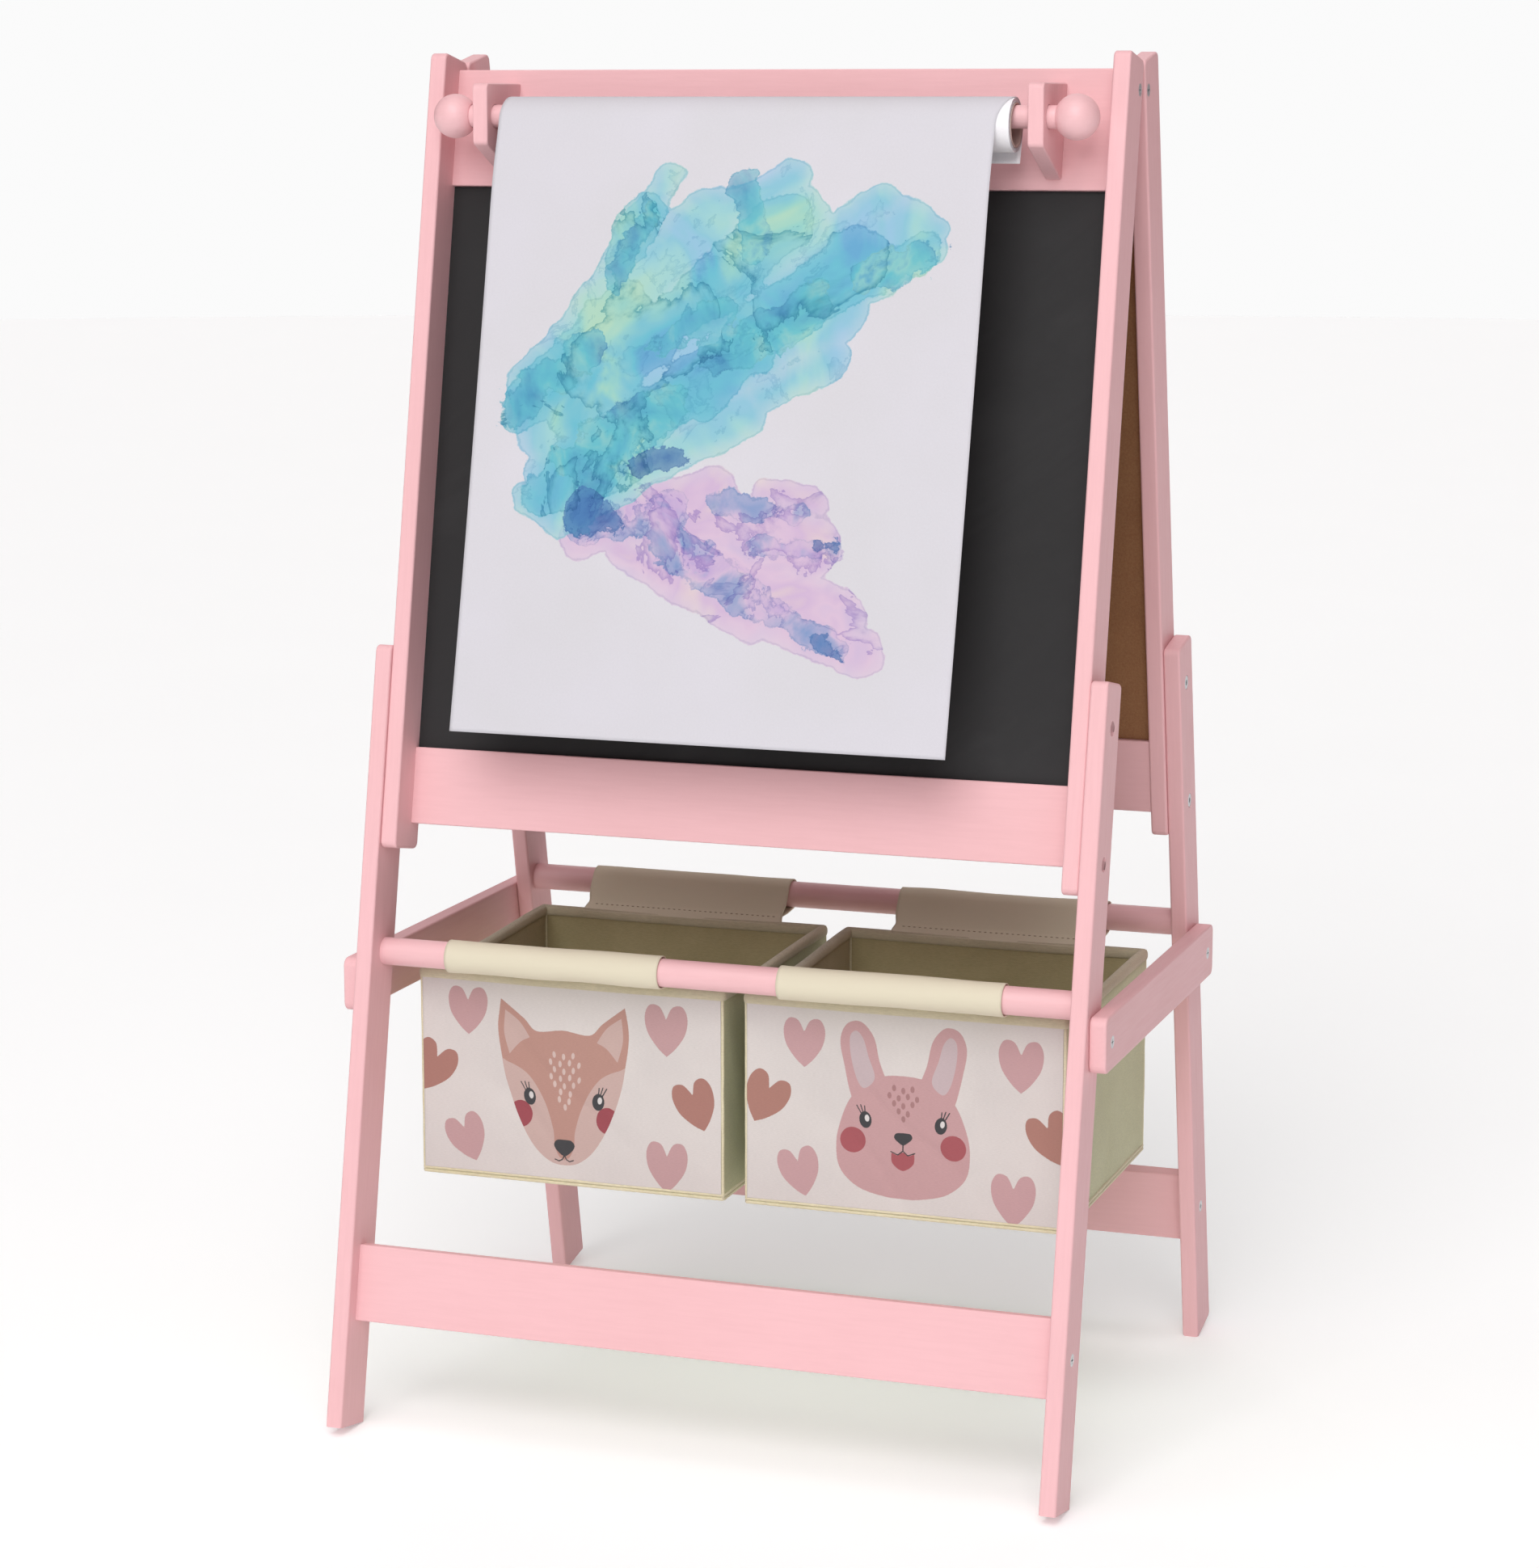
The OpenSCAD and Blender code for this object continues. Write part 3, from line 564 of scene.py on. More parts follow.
def rounded_end(x, radius, edge, outward):
    """Profile of a rod's end, from its centre to where the rod's side begins."""
    points = [(x, 0.2 * MM), (x, radius - edge)]
    for turn in np.linspace(0, math.pi / 2, 6)[1:]:
        points.append((x - outward * edge * (1 - math.cos(turn)), radius - edge + edge * math.sin(turn)))
    return points


def turned_piece(node, mesh):
    link(node + "_turned", mesh, painted_wood("x", 0.6), BODY_OF[node], [node])


def make_rods():
    """The two bin rods and the dowel, turned in one piece each."""
    edge = 0.8 * MM
    for node in ("front_rod", "rear_rod", "holder_dowel"):
        centre, radius, x0, x1 = node_axis(node)
        sides = [(x, radius) for x in np.linspace(x0 + edge, x1 - edge, 60)[1:-1]]
        profile = rounded_end(x0, radius, edge, -1) + sides + rounded_end(x1, radius, edge, 1)[::-1]
        mesh = lathe_x(node + "_turned", profile, centre)
        cap_ends(mesh, len(profile), LATHE_SIDES)
        turned_piece(node, mesh)


def make_knobs():
    """Wooden balls with the dowel's bore in their inner side."""
    dowel_radius = node_axis("holder_dowel")[1]
    bore_depth = 5 * MM
    for half, side in (("left", -1), ("right", 1)):
        node = "knob_" + half
        centre, radius, x0, x1 = node_axis(node)
        middle = x1 - radius if side > 0 else x0 + radius
        mouth = math.asin((dowel_radius + 0.6 * MM) / radius)
        turns = np.linspace(mouth, math.pi - 0.02, 56)
        ball = [(middle - side * radius * math.cos(a), radius * math.sin(a)) for a in turns]
        lip_x = ball[0][0]
        bore = [(lip_x + side * bore_depth, dowel_radius * 0.3),
                (lip_x + side * bore_depth, dowel_radius + 0.1 * MM),
                (lip_x + side * 0.5 * MM, dowel_radius + 0.1 * MM), (lip_x, dowel_radius + 0.3 * MM)]
        mesh = lathe_x(node + "_turned", bore + ball, centre)
        cap_ends(mesh, len(bore + ball), LATHE_SIDES)
        bm = bmesh.new()
        bm.from_mesh(mesh)
        bmesh.ops.recalc_face_normals(bm, faces=bm.faces)
        bm.to_mesh(mesh)
        bm.free()
        mesh.set_sharp_from_angle(angle=TURNED_SHARP)
        turned_piece(node, mesh)


# ---- boards ----


def make_boards():
    """Each board has a writing face in front and brown hardboard behind."""
    for node, face, side in (("chalkboard", chalk_face(), FRONT), ("whiteboard", white_face(), REAR)):
        bm = cad_solid(node)
        bmesh.ops.bevel(bm, geom=list(bm.edges), offset=0.3 * MM, offset_type="OFFSET", segments=2,
                        profile=0.5, affect="EDGES", clamp_overlap=True)
        outward = Vector((0, side * math.cos(LEAN), math.sin(LEAN)))
        for one in bm.faces:
            one.material_index = 0 if one.normal.dot(outward) > 0.9 else 1
        mesh = mesh_from(bm, node + "_faced")
        link(node + "_faced", mesh, [face, hardboard()], BODY_OF[node], [node])


# ---- metal, pins and inserts, which keep their CAD shape ----


def make_hardware():
    finishes = {"zinc_steel": zinc(),
                "insert_brass": speckled("insert_brass", 1200, 2, "#b08a3e", "#d4ad5c", 0.35, metallic=1.0),
                "beech_pin": speckled("bare_beech", 120, 4, "#c59a68", "#e0bd8c", 0.7, stretch=(1, 14, 14))}
    for part in RECORD["subparts"]:
        finish = finishes.get(part["material_slot"])
        if finish:
            obj = frame["nodes"][part["node"]]
            obj.data.materials.clear()
            obj.data.materials.append(finish)
            for used in obj.material_slots:
                used.link = "DATA"


# ---- paper: the roll, its core and the hanging sheet ----

UP_SLOPE = np.array([0, math.sin(LEAN), math.cos(LEAN)])
INTO_FRAME = np.array([0, math.cos(LEAN), -math.sin(LEAN)])


def make_roll():
    """Wound paper with a stepped cut end, on a card core that stands a little proud."""
    centre, radius, x0, x1 = node_axis("paper_roll")
    core_radius = node_axis("paper_core")[1]
    turns, sides, step = 26, 128, 0.22 * MM
    ends = []
    for side, x in ((-1, x0), (1, x1)):
        rings = []
        for i, r in enumerate(np.linspace(core_radius + 0.1 * MM, radius - 0.2 * MM, turns)):
            proud = step * noise.noise(Vector((i * 0.9, side * 3.1, 0.4)))
            rings.append((x - side * 0.3 * MM + side * proud, r))
        ends.append(rings)
    outside = [(x, radius) for x in np.linspace(x0 + 0.4 * MM, x1 - 0.4 * MM, 40)]
    mesh = lathe_x("paper_roll_wound", ends[0] + outside + ends[1][::-1], centre, sides)
    for face in mesh.polygons:
        face.material_index = 0 if turns <= face.index // sides < turns + len(outside) - 1 else 1
    mesh.set_sharp_from_angle(angle=TURNED_SHARP)
    link("paper_roll_wound", mesh, [plain_paper(), wound_edge(*centre)], "roll", ["paper_roll"])

    _, outer, x0, x1 = node_axis("paper_core")
    wall, lip, skin = 1.5 * MM, 0.3 * MM, outer - 0.05 * MM
    inner = outer - wall
    right = [(x1 - lip, skin), (x1, outer - lip), (x1, inner + lip), (x1 - lip, inner)]
    bore = [(x, inner) for x in np.linspace(x1 - 2 * MM, x0 + 2 * MM, 24)]
    left = [(x0 + lip, inner), (x0, inner + lip), (x0, outer - lip), (x0 + lip, skin)]
    back = [(x, skin) for x in np.linspace(x0 + 2 * MM, x1 - 2 * MM, 24)]
    core = lathe_x("paper_core_tube", right + bore + left + back + right[:1], centre)
    core.set_sharp_from_angle(angle=STEEP)
    card = speckled("core_card", 500, 4, "#8d7169", "#a68a80", 0.85, 0.1 * MM, (1, 4, 4))
    link("paper_core_tube", core, card, "roll", ["paper_core"])


PAPER = 0.28 * MM
FAR = 1e9
SKEW, TWIST = 6 * MM, 8 * MM
BEHIND_POINTS, OVER_POINTS, SHEET_COLUMNS = 12, 40, 121
# How fast a wash's edge, its dried line and its paint change, for each metre from the edge
WASH_EDGE, WASH_LINE, WASH_THINS = 1600, 1100, 30
LINE_PAINT, LINE_DARKENS = 0.16, 0.22
# Brush strokes as (start, end, radius): places in shares of the sheet's width and height, radii of its width
WASHES = {
    "upper_pale": [
        ((0.26, 0.48), (0.7, 0.33), 0.09), ((0.13, 0.47), (0.45, 0.22), 0.07),
        ((0.17, 0.53), (0.62, 0.22), 0.08), ((0.2, 0.6), (0.78, 0.26), 0.085),
        ((0.19, 0.66), (0.55, 0.5), 0.05), ((0.55, 0.4), (0.85, 0.24), 0.07),
        ((0.22, 0.34), (0.37, 0.15), 0.03), ((0.5, 0.2), (0.61, 0.155), 0.04),
        ((0.66, 0.26), (0.79, 0.185), 0.035), ((0.8, 0.24), (0.905, 0.225), 0.026),
        ((0.84, 0.28), (0.9, 0.255), 0.03), ((0.58, 0.48), (0.72, 0.42), 0.036),
        ((0.12, 0.64), (0.19, 0.68), 0.03)],
    "upper_mid": [
        ((0.1, 0.5), (0.3, 0.34), 0.05), ((0.2, 0.5), (0.6, 0.22), 0.058),
        ((0.22, 0.6), (0.76, 0.27), 0.06), ((0.15, 0.64), (0.34, 0.58), 0.04),
        ((0.7, 0.33), (0.88, 0.26), 0.036), ((0.28, 0.28), (0.33, 0.2), 0.036)],
    "upper_full": [
        ((0.09, 0.5), (0.22, 0.42), 0.04), ((0.52, 0.17), (0.55, 0.25), 0.03),
        ((0.2, 0.58), (0.4, 0.5), 0.044), ((0.5, 0.41), (0.68, 0.34), 0.042),
        ((0.78, 0.29), (0.89, 0.27), 0.034), ((0.36, 0.4), (0.5, 0.35), 0.028),
        ((0.27, 0.29), (0.335, 0.205), 0.026), ((0.24, 0.66), (0.3, 0.58), 0.026)],
    "lower_pale": [
        ((0.24, 0.69), (0.5, 0.62), 0.05), ((0.4, 0.65), (0.7, 0.7), 0.066),
        ((0.42, 0.71), (0.76, 0.8), 0.066), ((0.55, 0.78), (0.82, 0.85), 0.045),
        ((0.6, 0.615), (0.71, 0.635), 0.026), ((0.32, 0.715), (0.6, 0.82), 0.032)],
    "lower_full": [
        ((0.26, 0.67), (0.42, 0.66), 0.045), ((0.42, 0.7), (0.6, 0.78), 0.042),
        ((0.5, 0.635), (0.66, 0.65), 0.022), ((0.62, 0.79), (0.78, 0.85), 0.028),
        ((0.6, 0.7), (0.75, 0.7), 0.02)],
    "indigo": [
        ((0.24, 0.655), (0.3, 0.665), 0.033), ((0.355, 0.585), (0.42, 0.568), 0.018),
        ((0.73, 0.835), (0.775, 0.86), 0.014), ((0.715, 0.695), (0.755, 0.695), 0.011)]}


def brush_distance(s, t, strokes, height):
    """How far each point (s, t) is outside a set of brush strokes, all as shares of the sheet's width."""
    best = np.full(s.shape, FAR)
    for (s0, t0), (s1, t1), radius in strokes:
        p, q = np.array([s0, t0 * height]), np.array([s1, t1 * height])
        along = ((s - p[0]) * (q - p)[0] + (t - p[1]) * (q - p)[1]) / ((q - p) @ (q - p))
        along = np.clip(along, 0, 1)
        away = np.hypot(s - p[0] - along * (q - p)[0], t - p[1] - along * (q - p)[1]) - radius
        best = np.minimum(best, away)
    return best


def watercolour_paper():
    """Off-white paper under washes of paint. One attribute for each wash holds the distance to it."""
    tree, shader = new_material("watercolour_paper")
    place = coords(tree, uv=True)
    fibres = noise_of(tree, place, 700, 4, 0.65)
    cloud = noise_of(tree, place, 9, 2)
    paper = blend_colour(tree, 0.5, ramp(tree, fibres, [(0.3, "#c9c9cf"), (0.7, "#d0d0d6")]),
                         ramp(tree, cloud, [(0.35, "#cacace"), (0.65, "#d0cfd7")]))
    ragged = value(tree, "SUBTRACT", noise_of(tree, place, 42, 6, 0.62), 0.5)
    wander = value(tree, "SUBTRACT", noise_of(tree, place, 24, 2), 0.5)
    bloom = noise_of(tree, place, 13, 6, 0.58, 0.6)
    small_bloom = noise_of(tree, coords(tree, (1, 1.3, 1), (0, 0, 0.7), uv=True), 24, 6, 0.60, 0.5)
    pools = noise_of(tree, place, 15, 3, 0.55, 0.6)
    drops = noise_of(tree, coords(tree, (1.3, 1, 1), (0, 0, 0.4), uv=True), 20, 4, 0.55, 0.5)

    def wash(under, name, stops, strength, spread, seed):
        """Lays one wash over what is under it, darker along the line where it dried."""
        away = add(tree, "Attribute", attribute_name=name).outputs["Fac"]
        away = value(tree, "MULTIPLY_ADD", ragged, spread, away)
        away = value(tree, "MULTIPLY_ADD", wander, spread * seed, away)
        cover = value(tree, "MULTIPLY_ADD", away, -WASH_EDGE, 0.5, clamp=True)
        line = value(tree, "ABSOLUTE", value(tree, "MULTIPLY_ADD", away, WASH_LINE, 1.0))
        line = value(tree, "SUBTRACT", 1, line, clamp=True)
        inner = value(tree, "MULTIPLY_ADD", away, -WASH_THINS, 0.66, clamp=True)
        amount = value(tree, "MULTIPLY", inner, strength)
        amount = value(tree, "MULTIPLY_ADD", line, LINE_PAINT, amount)
        amount = value(tree, "MULTIPLY", cover, amount, clamp=True)
        laid = blend_colour(tree, amount, under, ramp(tree, pools if seed > 0 else drops, stops))
        dried = value(tree, "MULTIPLY", value(tree, "MULTIPLY", line, cover), LINE_DARKENS)
        return blend_colour(tree, dried, laid, rgb("#6f9fc4"), "MULTIPLY"), cover

    def backrun(under, field, level, colour, amount, within):
        """Pigment pushed to a crinkled edge: sharp on one side, fading out on the other."""
        past = value(tree, "SUBTRACT", field, level)
        sharp = value(tree, "MULTIPLY_ADD", past, 240, 0.2, clamp=True)
        fade = value(tree, "MULTIPLY_ADD", past, -9, 1, clamp=True)
        mask = value(tree, "MULTIPLY", value(tree, "MULTIPLY", sharp, value(tree, "POWER", fade, 4)), within)
        return blend_colour(tree, value(tree, "MULTIPLY", mask, amount), under, rgb(colour), "MULTIPLY")

    pink = [(0.34, "#c2b0cc"), (0.46, "#cdb6cc"), (0.54, "#c4acca"), (0.64, "#d2c1c5"), (0.72, "#bfaecb")]
    violet = [(0.36, "#6d8fbb"), (0.44, "#8f9bc0"), (0.52, "#c4b0ca"), (0.60, "#b6a0c8"), (0.68, "#7a9ac0")]
    aqua = [(0.34, "#8db9d2"), (0.46, "#82bacb"), (0.56, "#93c5c8"), (0.66, "#9fcabf")]
    teal = [(0.34, "#5a9dc4"), (0.44, "#5fb2c4"), (0.52, "#72b6c4"), (0.60, "#8bc4bb"), (0.68, "#a4cbb4")]
    deep = [(0.36, "#3a84ad"), (0.46, "#4ea4ba"), (0.54, "#58b1bd"), (0.62, "#82bebb"), (0.70, "#4792b8")]
    ink = [(0.35, "#3f70a8"), (0.65, "#345f9a")]
    painted, in_lower = wash(paper, "lower_pale", pink, 1.0, 0.012, 1.0)
    painted, in_lower_full = wash(painted, "lower_full", violet, 0.9, 0.030, -1.0)
    painted, in_upper = wash(painted, "upper_pale", aqua, 1.0, 0.012, 1.3)
    painted, in_upper_mid = wash(painted, "upper_mid", teal, 0.95, 0.022, 1.1)
    painted, _ = wash(painted, "upper_full", deep, 0.85, 0.036, -0.8)
    painted, _ = wash(painted, "indigo", ink, 0.9, 0.040, -0.6)
    painted = backrun(painted, bloom, 0.50, "#4fb0c8", 0.85, in_upper_mid)
    painted = backrun(painted, small_bloom, 0.56, "#6cb6d8", 0.35, in_upper)
    painted = backrun(painted, small_bloom, 0.46, "#7a9ad8", 0.6, in_lower_full)
    painted = backrun(painted, bloom, 0.55, "#a89cdc", 0.7, in_lower)
    plug(tree, shader, {"Base Color": painted, "Roughness": 0.8})
    bump(tree, shader, fibres, 0.03 * MM)
    return bpy.data.materials["watercolour_paper"]


def sheet_line(tail, radius, drop):
    """The sheet's profile as (depth, height) from the roll's axis: behind it, over it and down in front."""
    behind = [(radius - 2.2 * MM * (s / tail) ** 2, -s)
              for s in np.linspace(tail, 0, BEHIND_POINTS, endpoint=False)]
    over = [(radius * math.cos(a), radius * math.sin(a)) for a in np.linspace(0, math.pi, OVER_POINTS)]
    front = []
    for s in np.linspace(0, drop, 150)[1:]:
        bow = 4.6 * MM * (1 - math.exp(-((s / 0.03) ** 2))) * math.exp(-s / 0.16)
        lift = 2.5 * MM * (s / drop) ** 3
        front.append((-radius - bow - lift, -s))
    return np.array(behind + over + front)


def make_sheet():
    """The drawn-on end of the roll: it passes over the roll and hangs in front of the board."""
    (roll_y, roll_z), roll_radius, _, _ = node_axis("paper_roll")
    low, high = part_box("paper_sheet")
    axis = np.array([0, roll_y, roll_z])
    sheet_nodes = np.array([v.co for v in frame["nodes"]["paper_sheet"].data.vertices]) - axis
    drop = -(sheet_nodes @ UP_SLOPE).min()
    radius = roll_radius + 0.5 * MM
    line = sheet_line(roll_radius + 4.6 * MM, radius, drop)
    along = lengths(line)
    over_top = along[BEHIND_POINTS + OVER_POINTS // 2]
    xs = np.linspace(low.x, high.x, SHEET_COLUMNS)
    width, height = high.x - low.x, along[-1] - over_top
    points = np.empty((len(line), SHEET_COLUMNS, 3))
    for i, (depth, rise) in enumerate(line):
        hang = max(0.0, (along[i] - over_top) / height)
        swing = min(1.0, max(0.0, along[i] - over_top) / (32 * MM))
        twist = TWIST * swing * swing * (3 - 2 * swing)
        for j, x in enumerate(xs):
            across = (x - low.x) / width
            ripple = 0.9 * MM * hang * noise.noise(Vector((x * 9, rise * 5, 0.3)))
            ripple += 0.5 * MM * hang * math.sin(across * math.pi * 3 + 1)
            curl = 1.6 * MM * hang ** 2 * abs(2 * across - 1) ** 3
            at = axis + INTO_FRAME * (depth - abs(ripple) - curl) + UP_SLOPE * rise
            at[0] = x - SKEW * hang - twist * (0.15 + 0.85 * across)
            points[i, j] = at
    ss, tt = np.meshgrid((xs - low.x) / width, (along - over_top) / height)
    mesh = grid_mesh("paper_sheet_hung", points, [[(x - low.x, s) for x in xs] for s in along])
    share = height / width
    for name, strokes in WASHES.items():
        away = brush_distance(ss, tt * share, strokes, share) * width
        store(mesh, name, np.where(tt < 0, 1.0, away))
    mesh.flip_normals()
    piece = link("paper_sheet_hung", mesh, [watercolour_paper(), plain_paper()], "root", ["paper_sheet"])
    thick = piece.modifiers.new("thickness", "SOLIDIFY")
    thick.thickness = PAPER
    thick.offset = 0
    thick.material_offset = 1
    thick.material_offset_rim = 1


# ---- fabric bins ----

WALL = 4.0 * MM
BAND = 6 * MM
CORNER = 2.2 * MM
SIDE_STEPS, CORNER_STEPS = 76, 5
# How far a corner's cord lies inside the box, and how many times as far the one inside the bin
CORD_INSET, THROUGH = 0.9 * MM, 5.1


def slack(wall, a, v):
    """How far the fabric between the seams gives inwards at shares a along and v up one wall."""
    along, up = min(max(a, 0), 1), min(max(v, 0), 1)
    hold = math.sin(math.pi * along) * math.sin(math.pi * up)
    crease = noise.noise(Vector((a * 2.6 + wall * 7.3, v * 1.7 + a * 1.1, wall * 2.9)))
    diagonal = noise.noise(Vector((a * 3.3 + v * 2.0 + wall * 5, v * 1.2 - a * 0.7, 4.4 + wall)))
    fold = math.exp(-((diagonal / 0.17) ** 2))
    bow = 1.5 * math.sin(math.pi * along) ** 2 * max(0.0, up - 0.5) * 2 if wall in (1, 3) else 0
    return MM * (1.5 * hold + 1.2 * abs(crease) * hold ** 0.5 + 0.9 * fold * hold ** 0.35 + bow)


def perimeter(x0, x1, y0, y1, r):
    """A rounded rectangle from its front left corner: points, outward normals, walls, shares along them."""
    legs = [((x0 + r, y0), (x1 - r, y0), (x1 - r, y0 + r), -90),
            ((x1, y0 + r), (x1, y1 - r), (x1 - r, y1 - r), 0),
            ((x1 - r, y1), (x0 + r, y1), (x0 + r, y1 - r), 90),
            ((x0, y1 - r), (x0, y0 + r), (x0 + r, y0 + r), 180)]
    rows = []
    for wall, (start, end, centre, angle) in enumerate(legs):
        out = math.radians(angle)
        for a in np.linspace(0, 1, SIDE_STEPS, endpoint=False):
            at = [start[k] + a * (end[k] - start[k]) for k in (0, 1)]
            rows.append((*at, math.cos(out), math.sin(out), wall, a))
        for turn in np.linspace(0, math.pi / 2, CORNER_STEPS, endpoint=False):
            c, s = math.cos(out + turn), math.sin(out + turn)
            rows.append((centre[0] + r * c, centre[1] + r * s, c, s, wall, 1.0))
    return np.array(rows)


class Bin:
    """One bin's box, and the shape of its walls."""

    def __init__(self, half):
        self.half = half
        self.body = "bin_" + half
        self.low, self.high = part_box(f"bin_{half}_fabric")
        self.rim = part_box(f"bin_{half}_lining")[1].z
        self.height = self.rim - self.low.z

    def wall_rows(self, profile, sag=True):
        """Points round the bin for each (inset, z) of a profile, and their UV distances."""
        rows, uv = [], []
        up = lengths(np.array(profile))
        for (inset, z), along in zip(profile, up):
            ring = perimeter(self.low.x + inset, self.high.x - inset, self.low.y + inset,
                             self.high.y - inset, max(CORNER - inset, 0.6 * MM))
            v = (z - self.low.z) / self.height
            points = []
            for x, y, nx, ny, wall, a in ring:
                give = slack(wall, a, v) if sag and inset < 2 * WALL else 0
                droop = self.droop(wall, a) * max(0.0, (v - 0.8) / 0.2)
                points.append((x - nx * give, y - ny * give, z - droop))
            rows.append(points)
            steps = lengths(ring[:, :2])
            uv.append([(s, along) for s in steps] + [(steps[-1] + 2 * MM, along)])
        return np.array(rows), uv

    def droop(self, wall, a):
        """The side rims hang a little between the rods, most of all near the front."""
        if wall in (0, 2):
            return 0.5 * MM * math.sin(math.pi * a) ** 2
        back = a if wall == 1 else 1 - a
        return MM * (2.6 * math.sin(math.pi * a) ** 2 + 1.4 * math.sin(2 * math.pi * back) * (1 - back))

    def front(self, x, z, lift):
        """A point on the front wall, lifted off it."""
        a = (x - self.low.x) / (self.high.x - self.low.x)
        v = (z - self.low.z) / self.height
        return (x, self.low.y + slack(0, a, v) - lift, z)

    def add(self, name, mesh, material, nodes=(), slot=None):
        return link(f"bin_{self.half}_{name}", mesh, material, self.body, nodes)

    def closed_walls(self, name, profile):
        """A closed mesh from a profile that begins and ends on the bin's floor."""
        points, uv = self.wall_rows(profile)
        mesh = grid_mesh(name, points, uv, close_columns=True)
        cap_ends(mesh, *points.shape[:2])
        return mesh


def make_shell(bin_):
    """Outer cloth, with its own thickness, and the stiff lined tray inside it."""
    z0, z1 = bin_.low.z, bin_.rim
    skin = 1.6 * MM
    levels = list(np.linspace(z0 + 1.2 * MM, z1 - 0.6 * MM, 50))
    insets = list(np.linspace(100 * MM, 2 * MM, 12))
    outer = [(i, z0 + 0.2 * MM) for i in insets] + [(0.4 * MM, z0 + 0.4 * MM)] + [(0, z) for z in levels]
    inner = [(skin, z) for z in levels[::-1]] + [(i, z0 + skin) for i in insets[::-1]]
    bin_.add("shell", bin_.closed_walls("shell", outer + inner), cloth("khaki_fabric"),
             [f"bin_{bin_.half}_fabric"], "bin_fabric")

    floor_z = z0 + WALL
    tray_out = [(i, z0 + skin + 0.3 * MM) for i in insets] + [(skin + 0.1 * MM, z) for z in levels]
    tray_in = [(WALL, z) for z in levels[:0:-1]] + [(WALL, floor_z)] + [(i, floor_z) for i in insets[-2::-1]]
    bin_.add("lining", bin_.closed_walls("tray", tray_out + tray_in), cloth("lining_fabric"),
             [f"bin_{bin_.half}_lining", f"bin_{bin_.half}_boards"], "bin_lining")


def make_trim(bin_):
    """The rim's folded band, and the piping along the corners and the bottom edges."""
    z0, z1 = bin_.low.z, bin_.rim
    fold = [(-0.3, -6.2), (-0.7, -5.9), (-1.0, -4.6), (-1.1, -3), (-0.9, -1.2), (-0.2, 0.1), (1.0, 0.7),
            (2.2, 0.8), (3.4, 0.6), (4.4, 0.0), (5.0, -1.2), (5.1, -3), (4.9, -4.8), (4.5, -6.0), (4.2, -6.2)]
    points, uv = bin_.wall_rows([(i * MM, z1 + z * MM) for i, z in fold])
    mesh = grid_mesh("band", points, uv, close_columns=True)
    add_thickness(bin_.add("rim_band", mesh, cloth("rim_band_fabric"), slot="bin_fabric"), 0.7 * MM)

    seams = []
    low, high = bin_.low, bin_.high
    cx, cy = (low.x + high.x) / 2, (low.y + high.y) / 2
    for x, y in ((low.x, low.y), (high.x, low.y), (high.x, high.y), (low.x, high.y)):
        inward = (math.copysign(CORD_INSET, cx - x), math.copysign(CORD_INSET, cy - y))
        path = [(x + inward[0] + 0.25 * MM * noise.noise(Vector((x, y, z * 60))), y + inward[1], z)
                for z in np.linspace(z0 + 1.5 * MM, z1 - BAND + 1 * MM, 40)]
        seams.append(cord_mesh("seam", np.array(path), 1.25 * MM))
        within = [(x + inward[0] * THROUGH, y + inward[1] * THROUGH, z)
                  for z in np.linspace(z0 + WALL, z1 - BAND, 30)]
        seams.append(cord_mesh("seam", np.array(within), 0.8 * MM, 8))
    bin_.add("corner_piping", join("corner_piping", seams), cloth("cream_binding"), slot="bin_fabric")

    rows, _ = bin_.wall_rows([(0.5 * MM, z0 + 1.35 * MM), (0.3 * MM, z0 + 3.9 * MM)], sag=False)
    edges = [cord_mesh("edge", row, radius * MM, closed=True) for row, radius in zip(rows, (1.3, 1.15))]
    bin_.add("bottom_piping", join("bottom_piping", edges), cloth("cream_binding"), slot="bin_fabric")


def add_thickness(piece, thick):
    """Gives a piece of cloth its thickness, half of it on each side."""
    solid = piece.modifiers.new("thickness", "SOLIDIFY")
    solid.thickness = thick
    solid.offset = 0
    solid.use_even_offset = True


# ---- sleeves that hang the bins on the rods ----

SLEEVE = 0.9 * MM
SEAM_REACH = 0.76


def sleeve_line(bin_, side, rod, rod_radius):
    """The sleeve's profile in (y, z): out of the rim's fold, to the seam, round the rod and back again."""
    wall_y = bin_.low.y if side == FRONT else bin_.high.y
    seat = np.array([wall_y - side * 1.2 * MM, bin_.rim + 0.6 * MM])
    reach = rod - seat
    span = np.linalg.norm(reach)
    towards = -reach / span
    across = np.array([-towards[1], towards[0]]) * (1 if side == FRONT else -1)
    radius = rod_radius + 0.45 * MM + SLEEVE / 2
    seam = SEAM_REACH * span
    leave = math.acos(radius / seam)
    lay = 0.62 * MM
    root = [seat + towards * 4 * MM, seat + towards * 1 * MM]
    root += [seat - towards * (span - seam) * f for f in (0.35, 0.7, 1)]
    low = [p - across * lay for p in root]
    high = [p + across * lay for p in root]
    arc = [rod + radius * (towards * math.cos(a) - across * math.sin(a))
           for a in np.linspace(leave, 2 * math.pi - leave, 40)]
    return np.array(low + arc + high[::-1]), seat - towards * (span - seam), across


